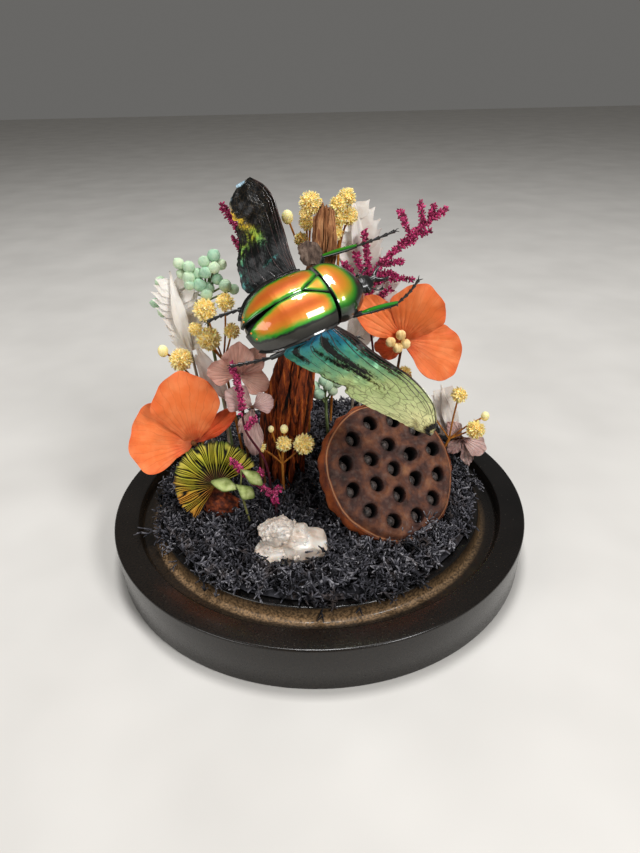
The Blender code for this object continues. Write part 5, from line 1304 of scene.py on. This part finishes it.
# Leg through its points: a swollen thigh and shin with radii, then a foot from the point footFrom
# on. A front leg has a flat green shin with black saw teeth along its outer edge.
def leg(points, radii, footFrom, size=0.42, teeth=0):
    upper = points[:footFrom + 1]
    if not teeth:
        path = curve(upper, 60)
        thigh = tubes(path, np.interp(np.linspace(0, 1, 60), np.linspace(0, 1, len(radii)), radii), 12)
        return [joined([thigh, foot(points[footFrom:], size)])]
    thigh = tubes(curve(upper[:3], 40), np.linspace(1.4, 0.9, 40), 12)
    path = curve(upper[2:], 50)
    along = np.linspace(0, 1, 50)
    width = 1.55 * np.sin(math.pi * (0.12 + 0.78 * along)) ** 0.4
    shin = tubes(path, width, 24, flat=0.5)
    side = unit(np.cross(unit(path[-1] - path[0]), vec(0.11, 0.21, 0.97)))
    k = np.linspace(12, 47, teeth).astype(int)
    hand = 1 if points[0][1] < 0 else -1
    root = path[k] + hand * side * 0.7 * width[k][:, None]
    saw = np.stack([root, root + hand * side * 1.2 + unit(path[-1] - path[0]) * 0.5], 1)
    dark = joined([thigh, foot(points[footFrom:], size), tubes(saw, [0.45, 0.06], 6)])
    return [dark, shin]


# Each leg: its points from the hip out, thigh and shin radii, where its foot starts, the foot's
# size and the number of saw teeth.
legs = {"hindLeft": ([(-8.0, 4.5, -8.5), (-12.5, 10.0, -12.5), (-19.0, 17.0, -15.5), (-24.0, 20.5, -17.8),
                      (-29.5, 22.5, -19.6), (-35.0, 24.0, -21.6)], [1.7, 1.9, 1.2, 0.9], 3, 0.8),
        "hindRight": ([(-8.0, -4.5, -8.5), (-13.0, -6.0, -13.5), (-16.5, -3.2, -19.5), (-21.9, -1.1, -23.0),
                       (-29.0, 2.0, -25.0), (-35.5, 4.8, -26.4)], [1.7, 1.9, 1.2, 0.9], 3, 0.8),
        "midLeft": ([(-3.0, 6.0, -8.0), (-2.0, 12.0, -7.6), (-2.6, 15.5, -5.6), (-4.8, 18.2, -5.2)],
                    [1.5, 1.4, 0.8], 2),
        "midRight": ([(-3.0, -6.0, -8.0), (-1.5, -9.5, -11.5), (3.0, -12.0, -13.5), (8.0, -13.0, -15.5)],
                     [1.5, 1.4, 0.8], 2),
        "frontLeft": ([(4.5, 7.0, -5.5), (5.5, 12.0, -3.0), (7.8, 14.1, 0.6), (12.8, 11.3, 3.2),
                       (17.7, 8.1, 6.2), (23.0, 5.0, 9.6), (28.6, 2.4, 13.0)], [], 4, 0.6, 7),
        "frontRight": ([(4.5, -6.5, -6.0), (6.2, -9.8, -5.2), (8.8, -11.6, -3.9), (14.0, -14.0, -1.6),
                        (19.3, -16.9, 1.1), (23.2, -17.0, 4.4), (26.6, -16.4, 8.0)], [], 4, 0.6, 5)}

# Each vein: its place across the wing at the root and at the tip, its bend and its radius.
wingSheet = {"rows": 220, "cols": 90, "thick": 0.22, "pleat": 0.35,
             "veins": [(0.01, 0.02, 0.0, 0.5), (0.05, 0.08, 0.02, 0.36), (0.09, 0.14, 0.03, 0.3),
                       (0.13, 0.34, 0.05, 0.26), (0.25, 0.55, 0.08, 0.22), (0.42, 0.8, 0.06, 0.2),
                       (0.6, 0.96, 0.02, 0.2), (0.78, 0.99, 0.0, 0.18)]}
# Each wing: points along its leading edge, then along its trailing edge.
wings = {
    "hindwing_right": (
        [(-3.2, -10.9, -3.6), (1.7, -17.8, -5.4), (4.3, -25.5, -6.4), (7.5, -32.5, -7.4),
         (10.5, -39.0, -8.1), (13.2, -45.5, -11.0), (14.3, -50.9, -14.3), (13.4, -55.2, -19.3),
         (11.8, -56.3, -22.4)],
        [(-13.5, -11.4, -6.8), (-18.5, -7.5, -13.0), (-16.8, -10.5, -18.0), (-13.8, -15.3, -18.9),
         (-9.2, -22.3, -19.4), (-6.4, -29.5, -21.0), (-2.3, -37.0, -21.5), (4.6, -47.5, -22.6),
         (11.0, -56.2, -23.6)]),
    "hindwing_left": (
        [(-3.4, 10.9, -3.4), (-2.2, 20.5, 1.6), (-0.9, 26.4, 4.8), (0.7, 33.8, 6.9), (2.3, 40.5, 8.2),
         (2.1, 47.7, 8.6), (-0.3, 54.3, 8.2)],
        [(-14.0, 11.2, -5.6), (-20.2, 20.3, -9.8), (-19.0, 29.0, -6.5), (-14.0, 37.0, -2.6),
         (-12.9, 43.5, -0.4), (-10.7, 50.6, 2.8), (-5.2, 55.5, 5.6)]),
}


# Wing membrane: thin chitin film with interference colours. Its colour is darker in the grooves of the streak
# relief and a fine wrinkle noise and lighter on their crests: painted shade and light. Tint 0 is black; glow
# is the ramp of the film's colour over tint, along is its hue from root to tip.
def membrane(name, along, glow, metal, coat):
    f = newFinish(name, Roughness=0.33, Metallic=metal, Coat_Weight=coat, Coat_Roughness=0.12,
                  Specular_IOR_Level=0.3)
    axes = add(f, "SeparateXYZ", f.uv).node.outputs
    cloud = add(f, "TexNoise", f.place, Scale=per(5), Detail=5.0, Roughness=0.6)
    shift = add(f, "Math", cloud, 0.4, -0.2, operation="MULTIPLY_ADD")
    hue = add(f, "ValToRGB", add(f, "Math", axes["Y"], shift, operation="ADD"), stops=along)
    wrinkle = add(f, "TexNoise", f.place, Scale=per(1.0), Detail=5.0, Distortion=0.8)
    streak = add(f, "TexNoise", add(f, "Mapping", f.uv, Scale=(46.0, 7.0, 1.0)), Scale=1.0, Detail=3.0,
                 Distortion=0.5)
    # Painted shade and light: the film darkens where the streak relief and the wrinkle noise are low and
    # pales where they are high.
    level = add(f, "Math", wrinkle, streak, operation="ADD")
    level = add(f, "Math", level, 0.9, -0.9, operation="MULTIPLY_ADD")
    film = add(f, "ValToRGB", add(f, "Math", f.tint, level, operation="ADD"), stops=glow)
    colour = add(f, "MixRGB", 1.0, hue, film, blend_type="MULTIPLY")
    cells = add(f, "TexVoronoi", add(f, "Mapping", f.uv, Scale=(8.0, 15.0, 1.0)), Scale=1.0,
                feature="DISTANCE_TO_EDGE")
    net = add(f, "ValToRGB", cells, stops=[(0.0, 0.6), (0.06, 0.0)])
    outer = add(f, "ValToRGB", axes["Y"], stops=[(0.42, 0.0), (0.6, 1.0)])
    colour = add(f, "MixRGB", add(f, "Math", net, outer, operation="MULTIPLY"), colour, "#3c2f1c")
    return feed(f, Base_Color=colour, Normal=add(f, "Bump", Strength=0.7, Distance=0.15 * mm, Height=streak))


# Right wing, from leading edge (t 0) and root (s 0): dark veins to the node, a dark fold down the
# middle of the root, streaks along the wing, a dark tip with a pale rim.
def rightGlow(s, t):
    streak = lumps(np.stack(np.broadcast_arrays(s * 9, t * 42, 0 * s), -1), 5.0, 94)
    glow = 0.74 + 0.16 * streak * (1 - 0.6 * ease(s, 0.55, 0.8))
    glow = glow - 0.6 * near(t, 0.42, 0.09) * ease(s, 0.02, 0.1) * (1 - ease(s, 0.42, 0.55))
    glow = glow - 0.5 * (1 - ease(t, 0.06, 0.2)) * (1 - ease(s, 0.42, 0.55))
    glow = glow - 0.3 * near(t, 0.62 - 0.2 * s, 0.05) * ease(s, 0.12, 0.2) * (1 - ease(s, 0.5, 0.65))
    glow = glow - 0.45 * near(t, 0.84, 0.06) * (1 - ease(s, 0.2, 0.34))
    glow = glow - 0.5 * near(t, 0.99, 0.05) * near(s, 0.5, 0.12)
    glow = glow - 0.9 * near(s - 0.16 * (t - 0.5), 0.955, 0.03)
    return np.clip(glow, 0, 1)


# Left wing: black, with a streak that runs slanting from the trailing edge into the wing, a dull
# green patch under it, blue speckles at the lower trailing edge and a pale tip.
def leftGlow(s, t):
    speck = 0.5 + 0.5 * lumps(np.stack(np.broadcast_arrays(s * 60, t * 40, 0 * s), -1), 4.0, 95)
    glow = 0.1 + 0.65 * near(s, 0.17 + 0.53 * t, 0.07) * ease(t, 0.3, 0.5) * (0.6 + 0.4 * speck)
    glow = glow + 0.75 * near(s, 0.44, 0.06) * near(t, 0.78, 0.2) * speck
    glow = glow + 0.7 * near(t, 0.93, 0.1) * (1 - ease(s, 0.3, 0.45)) * speck
    glow = glow + 0.4 * near(s, 0.22, 0.02) * near(t, 0.4, 0.2)
    glow = glow + 0.5 * near(t, 1.0, 0.06) * near(s, 0.8, 0.12)
    return np.clip(glow + 0.9 * ease(s, 0.94, 0.99) * ease(t, 0.3, 0.6), 0, 1)


# Wing: straight lines from the leading to the trailing edge, pleated by a cosine, its rim frayed
# and notched; veins are raised tubes that follow lines of the same surface.
def makeWing(name, finish, veinFinish, slot, glow, notches):
    leading, trailing = wings[name]
    rows, cols = wingSheet["rows"], wingSheet["cols"]
    front, rear = curve(leading, rows), curve(trailing, rows)
    s = np.linspace(0, 1, rows)[:, None]
    t = np.linspace(0, 1, cols)[None]
    inset = sum(depth * near(s, at, wide) for at, depth, wide in notches)
    rear = rear - unit(rear - front) * inset
    points = front[:, None] * (1 - t[..., None]) + rear[:, None] * t[..., None]
    pleat = wingSheet["pleat"] * np.cos(4 * math.pi * t) * np.sin((0.05 + 0.92 * s) * math.pi)
    fold = 0.2 * lumps(points, 5.0, 91) + 0.06 * lumps(points, 2.0, 92)
    lift = pleat + fold * np.minimum(1, 4 * t * (1 - t) + 0.3)
    fray = 0.45 * lumps(points[:, -1], 1.8, 93)[:, None, None] * t[..., None] ** 8
    points = points + gridNormals(points) * lift[..., None] + unit(rear - front)[:, None] * fray
    v = np.linspace(0.02, 0.97, 60)
    lines, size = [], []
    for start, end, bend, width in wingSheet["veins"]:
        where = np.clip(start + (end - start) * v ** 1.5 + bend * np.sin(math.pi * v), 0, 1)
        lines.append(points[(v * (rows - 1)).astype(int), np.round(where * (cols - 1)).astype(int)])
        size.append(width * np.linspace(1, 0.35, 60))
    lines = np.array(lines)
    lines[:, 1:-1] = (lines[:, :-2] + lines[:, 1:-1] * 2 + lines[:, 2:]) / 4
    tint = glow(s, t)
    addPiece(name + "_veined", [(posed(thickSheet(points, wingSheet["thick"], tint)), finish),
                                (posed(tubes(lines, np.array(size), 6)), veinFinish)], slot, name, sharp=180)


# The body's rings as rows in its own frame: x, half width, middle and half height of the abdomen
# and the head, and x, half width, crown and belly of the collar.
beetle = {"around": 64,
          "abdomen": [(-29.6, 2.6, -6.0, 1.6), (-27.6, 6.0, -5.8, 3.0), (-22.0, 9.0, -5.1, 4.9),
                      (-12.0, 10.4, -4.6, 6.0), (-3.0, 10.2, -4.6, 6.1), (-0.3, 8.4, -4.8, 5.2)],
          "collar": [(0.2, 11.6, 5.4, -8.5), (3.5, 11.7, 5.6, -9.2), (7.5, 10.4, 4.6, -9.4),
                     (11.0, 8.0, 2.4, -9.0), (13.4, 5.6, -0.2, -8.2), (14.4, 4.0, -2.2, -7.2)],
          "head": [(14.8, 3.4, -4.8, 2.4), (17.0, 3.6, -4.9, 2.5), (19.4, 2.6, -4.8, 1.7)],
          "hornBase": [(18.4, 0, -4.6), (20.0, 0, -4.2), (21.5, 0, -4.0)]}


# Smooth readings of a table's columns at even steps, each as an upright array.
def columns(table, count):
    return (column[:, None] for column in curve(table, count).T)


# Even turns round a ring of the body.
def ringTurns():
    return np.arange(beetle["around"])[None] * tau / beetle["around"]


# Black chitin: satin plates with fine pits and a thin wax coat.
def blackChitin():
    f = newFinish("black_chitin", Roughness=0.38, Coat_Weight=0.5, Coat_Roughness=0.15)
    tone = add(f, "ValToRGB", add(f, "TexNoise", f.place, Scale=per(2.5), Detail=4.0),
               stops=[(0.35, "#030303"), (0.7, "#0e0d0a")])
    return feed(f, Base_Color=tone, Normal=add(f, "Bump", Strength=0.4, Distance=0.15 * mm, Height=add(
        f, "TexVoronoi", f.place, Scale=per(0.5))))


# Green front shin: dark along its two edges, by the cosine of the turn round it.
def shinCuticle():
    f = newFinish("green_shin_cuticle", Roughness=0.3, Metallic=0.3, Coat_Weight=0.8, Coat_Roughness=0.08)
    wrap = add(f, "Math", add(f, "SeparateXYZ", f.uv).node.outputs["X"], tau, operation="MULTIPLY")
    edge = add(f, "Math", add(f, "Math", wrap, operation="COSINE"), operation="ABSOLUTE")
    return feed(f, Base_Color=add(f, "ValToRGB", edge, stops=[(0.0, "#2c9a18"), (0.5, "#177a12"),
                                                              (0.82, "#0a3c0a"), (0.9, "#040804")]))


# Abdomen: rings with a shallow groove between segments, and the middle and hind legs.
def makeAbdomen(black):
    x, half, middle, high = columns(beetle["abdomen"], 120)
    groove = 1 - 0.035 * near((x + 30) % 4.2, 2.1, 0.35)
    section = crossSection(x, half * groove, middle, high * groove, high * groove, ringTurns())
    parts = [(posed(closedRings(section)), black)]
    for key in ("hindLeft", "hindRight", "midLeft", "midRight"):
        parts += [(posed(s), black) for s in leg(*legs[key])]
    addPiece("beetle_body_chitin", parts, "chitin", "beetle_body")


# Collar: arched above, flatter below, deepest orange at the back and green round its edges. Its
# tint is an oval distance from the middle of the back.
def makeCollar(black):
    x, half, crown, belly = columns(beetle["collar"], 90)
    middle = belly + 0.45 * (crown - belly)
    collar = crossSection(x, half, middle, crown - middle, middle - belly, ringTurns(), 0.8)
    px, py = collar[..., 0], collar[..., 1]
    spread = np.hypot((py + 0.8) / 11.6, (px - 2.2) / 9.8)
    spread = np.maximum(spread, 0.95 - 0.75 * (px - 0.2)) - 0.2 * near(px, 2.5, 2.2) * near(py, 5.5, 2.2)
    spread = np.where(collar[..., 2] < middle, 1.0, spread)
    dome = cuticle("collar_cuticle", [
        (0.0, "#c8500a"), (0.2, "#d0700a"), (0.45, "#cc860c"), (0.6, "#a8920c"), (0.7, "#5c920e"),
        (0.79, "#1f8010"), (0.88, "#0c3808"), (0.94, "#0a1206"), (1.0, "#1c1c16")])
    green = shinCuticle()
    parts = [(posed(closedRings(collar, np.clip(spread, 0, 1))), dome)]
    for key in ("frontLeft", "frontRight"):
        parts += list(zip([posed(s) for s in leg(*legs[key])], (black, green)))
    addPiece("beetle_collar_cuticle", parts, "collar", "beetle_pronotum")


# Head with eyes, feelers and its forked horn, whose prongs have teeth.
def makeHead(black):
    x, half, middle, high = columns(beetle["head"], 40)
    shapes = [closedRings(crossSection(x, half, middle, high, high, ringTurns())),
              tubes(curve(beetle["hornBase"], 12), 1.3, 12)]
    for hand in (-1, 1):
        prong = curve([(20.8, 0.2 * hand, -4.2), (23.0, 2.2 * hand, -3.6), (25.0, 3.0 * hand, -2.6)], 24)
        root = prong[[6, 13, 19]]
        teeth = np.stack([root, root + vec(0.5, 1.3 * hand, 0.2)], 1)
        feeler = curve([(17.6, 3.0 * hand, -4.2), (19.4, 5.0 * hand, -4.4), (21.4, 5.4 * hand, -4.0)], 24)
        club = np.append(np.full(16, 0.26), np.linspace(0.3, 0.6, 8))
        shapes += [tubes(prong, np.linspace(1.0, 0.3, 24), 10), tubes(teeth, [0.4, 0.08], 6),
                   tubes(feeler, club, 8), ballAt(vec(16.6, 3.4 * hand, -4.4), 1.2, 12, 16)]
    addPiece("beetle_head_chitin", [(posed(s), black) for s in shapes], "chitin", "beetle_head")


# Scutellum: a low pillow over a triangle, green at its edges.
def makeScutellum():
    half, length = wingCase["scutellumHalf"] - 0.35, wingCase["scutellumLength"] - 0.5
    s = np.linspace(0, 1, 40)[:, None]
    t = np.linspace(-1, 1, 41)[None]
    z = 4.8 + 0.9 * s + 0.65 * (1 - t * t) * (1 - s) ** 0.5
    top = np.stack([-0.6 - (length - 0.6) * s + 0 * t, half * (1 - 0.98 * s) * t, z], -1)
    edge = nearest([half * (1 - s) * (1 - np.abs(t)), (length * s + 0.3) * 0.8 + 0 * t], 2.0)
    plate = shell(top, top - (0, 0, 1.0), np.clip(edge / 2.6, 0, 1))
    finish = cuticle("scutellum_cuticle", [
        (0.0, "#061004"), (0.1, "#0f4a0a"), (0.28, "#4e9a0e"), (0.5, "#b49a0c"), (0.8, "#dc820a")])
    addPiece("beetle_scutellum_plate", [(posed(plate), finish)], "scutellum", "beetle_scutellum")


# Both wings, each with its film and its notches as place, depth in mm and width.
def makeWings():
    vein = mottled("wing_vein_chitin", 2.0, 3.0, [(0.35, "#0c0605"), (0.7, "#3c1c14")], Roughness=0.3,
                   Coat_Weight=0.5)
    gold = membrane("gold_green_membrane", [
        (0.0, "#2a78a8"), (0.12, "#2f8a94"), (0.26, "#4a9a80"), (0.42, "#8ab884"), (0.55, "#bcd08a"),
        (0.72, "#dce4a4"), (0.88, "#f4f0b0"), (0.95, "#a89c68"), (1.0, "#b4c8d2")],
        [(0.0, "#060504"), (0.3, "#1c1612"), (0.42, "#a8a088"), (0.6, "#ffffff")], 0.6, 0.4)
    dark = membrane("dark_teal_membrane", [
        (0.0, "#3f8aa0"), (0.3, "#4a9a8c"), (0.42, "#8ab04a"), (0.6, "#d8b420"), (0.75, "#c89a40"),
        (0.9, "#7a9ab0"), (1.0, "#a8c4d4")],
        [(0.0, "#020202"), (0.3, "#080b0b"), (0.48, "#5a6058"), (0.75, "#ffffff")], 0.15, 0.05)
    makeWing("hindwing_right", gold, vein, "gold_membrane", rightGlow, (
        (0.17, -1.6, 0.06), (0.42, 1.0, 0.025), (0.47, -1.0, 0.04), (0.56, 2.4, 0.025), (0.83, 0.7, 0.04)))
    makeWing("hindwing_left", dark, vein, "dark_membrane", leftGlow, ((0.66, 2.0, 0.03), (0.93, 0.5, 0.03)))


def makeBeetle():
    black = blackChitin()
    shine = cuticle("wing_case_cuticle", [
        (0.0, "#0c0b09"), (0.05, "#24221e"), (0.315, "#37352e"), (0.35, "#050803"), (0.38, "#0a2606"),
        (0.425, "#1a840e"), (0.475, "#4a960c"), (0.53, "#9a900a"), (0.6, "#cc7c08"), (0.78, "#cc6206"),
        (1.0, "#b84c06")], streak=0.12)
    makeWingCase("wing_case_left", 1, shine)
    makeWingCase("wing_case_right", -1, shine)
    makeAbdomen(black)
    makeCollar(black)
    makeHead(black)
    makeScutellum()
    makeWings()


# Set: pale floor, soft light, camera at the angle of the photo.
view = {"focal": 640.0, "longSide": 853.0, "place": (1.2, -238.4, 189.7), "pitch": 0.5144, "roll": -0.023}
# Each lamp: place in metres, watts, size in metres.
lamps = {"key": ((0.55, -0.62, 0.72), 6.5, 0.26), "fill": ((-0.85, -0.75, 0.7), 5.0, 0.6),
         "top": ((0.0, 0.06, 1.15), 7.5, 0.24)}


# Puts a lamp or camera at its place, with its axes as the columns of its turn.
def placed(thing, place, axes):
    turn = Matrix([[float(v) for v in row] for row in np.stack(axes, -1)]).to_4x4()
    thing.matrix_world = Matrix.Translation([float(v) for v in place]) @ turn
    bpy.context.collection.objects.link(thing)


def makeSet():
    card = mottled("pale_floor_card", 60, 2.0, [(0.3, "#d2cfca"), (0.7, "#dcd9d4")], Roughness=0.85)
    mesh = bpy.data.meshes.new("floor")
    corners = [(-3, -3), (3, -3), (3, 3), (-3, 3)]
    mesh.from_pydata([(x, y, -0.0002) for x, y in corners], [], [(0, 1, 2, 3)])
    mesh.materials.append(card)
    floor = bpy.data.objects.new("floor", mesh)
    bpy.context.collection.objects.link(floor)
    world = bpy.data.worlds.new("pale_room")
    world.use_nodes = True
    world.node_tree.nodes["Background"].inputs["Color"].default_value = linear("#d8d6d2")
    world.node_tree.nodes["Background"].inputs["Strength"].default_value = 0.2
    bpy.context.scene.world = world
    for name, (place, power, size) in lamps.items():
        light = bpy.data.lights.new(name, "AREA")
        light.energy, light.size = power, size
        aim = unit(vec(0, 0, 0.07) - np.array(place))
        side = unit(np.cross(aim, vec(0, 0, 1)))
        placed(bpy.data.objects.new(name, light), place, [side, np.cross(side, aim), -aim])
    lens = bpy.data.cameras.new("photo_view")
    lens.sensor_width = 36.0
    lens.lens = 36.0 * view["focal"] / view["longSide"]
    lens.clip_start = 0.01
    p, r = view["pitch"], view["roll"]
    right, up = vec(1, 0, 0), vec(0, math.sin(p), math.cos(p))
    forward = vec(0, math.cos(p), -math.sin(p))
    camera = bpy.data.objects.new("photo_view", lens)
    placed(camera, np.array(view["place"]) * mm, [right * math.cos(r) + up * math.sin(r),
                                                  up * math.cos(r) - right * math.sin(r), -forward])
    bpy.context.scene.camera = camera
    bpy.context.scene.view_settings.view_transform = "Standard"


makeSet()
print("camera, light and floor ready")
for stage in (makeBase, makeMoss, makeDriftwood, makeBarkFlake, makePod, makeQuartz, makeFungus, makeBeetle,
              makeFlowers, makeLeaves, makeCreamSprays, makeBerries, makeMagentaSprays, makeSprig):
    stage()
    print(stage.__name__, "done")
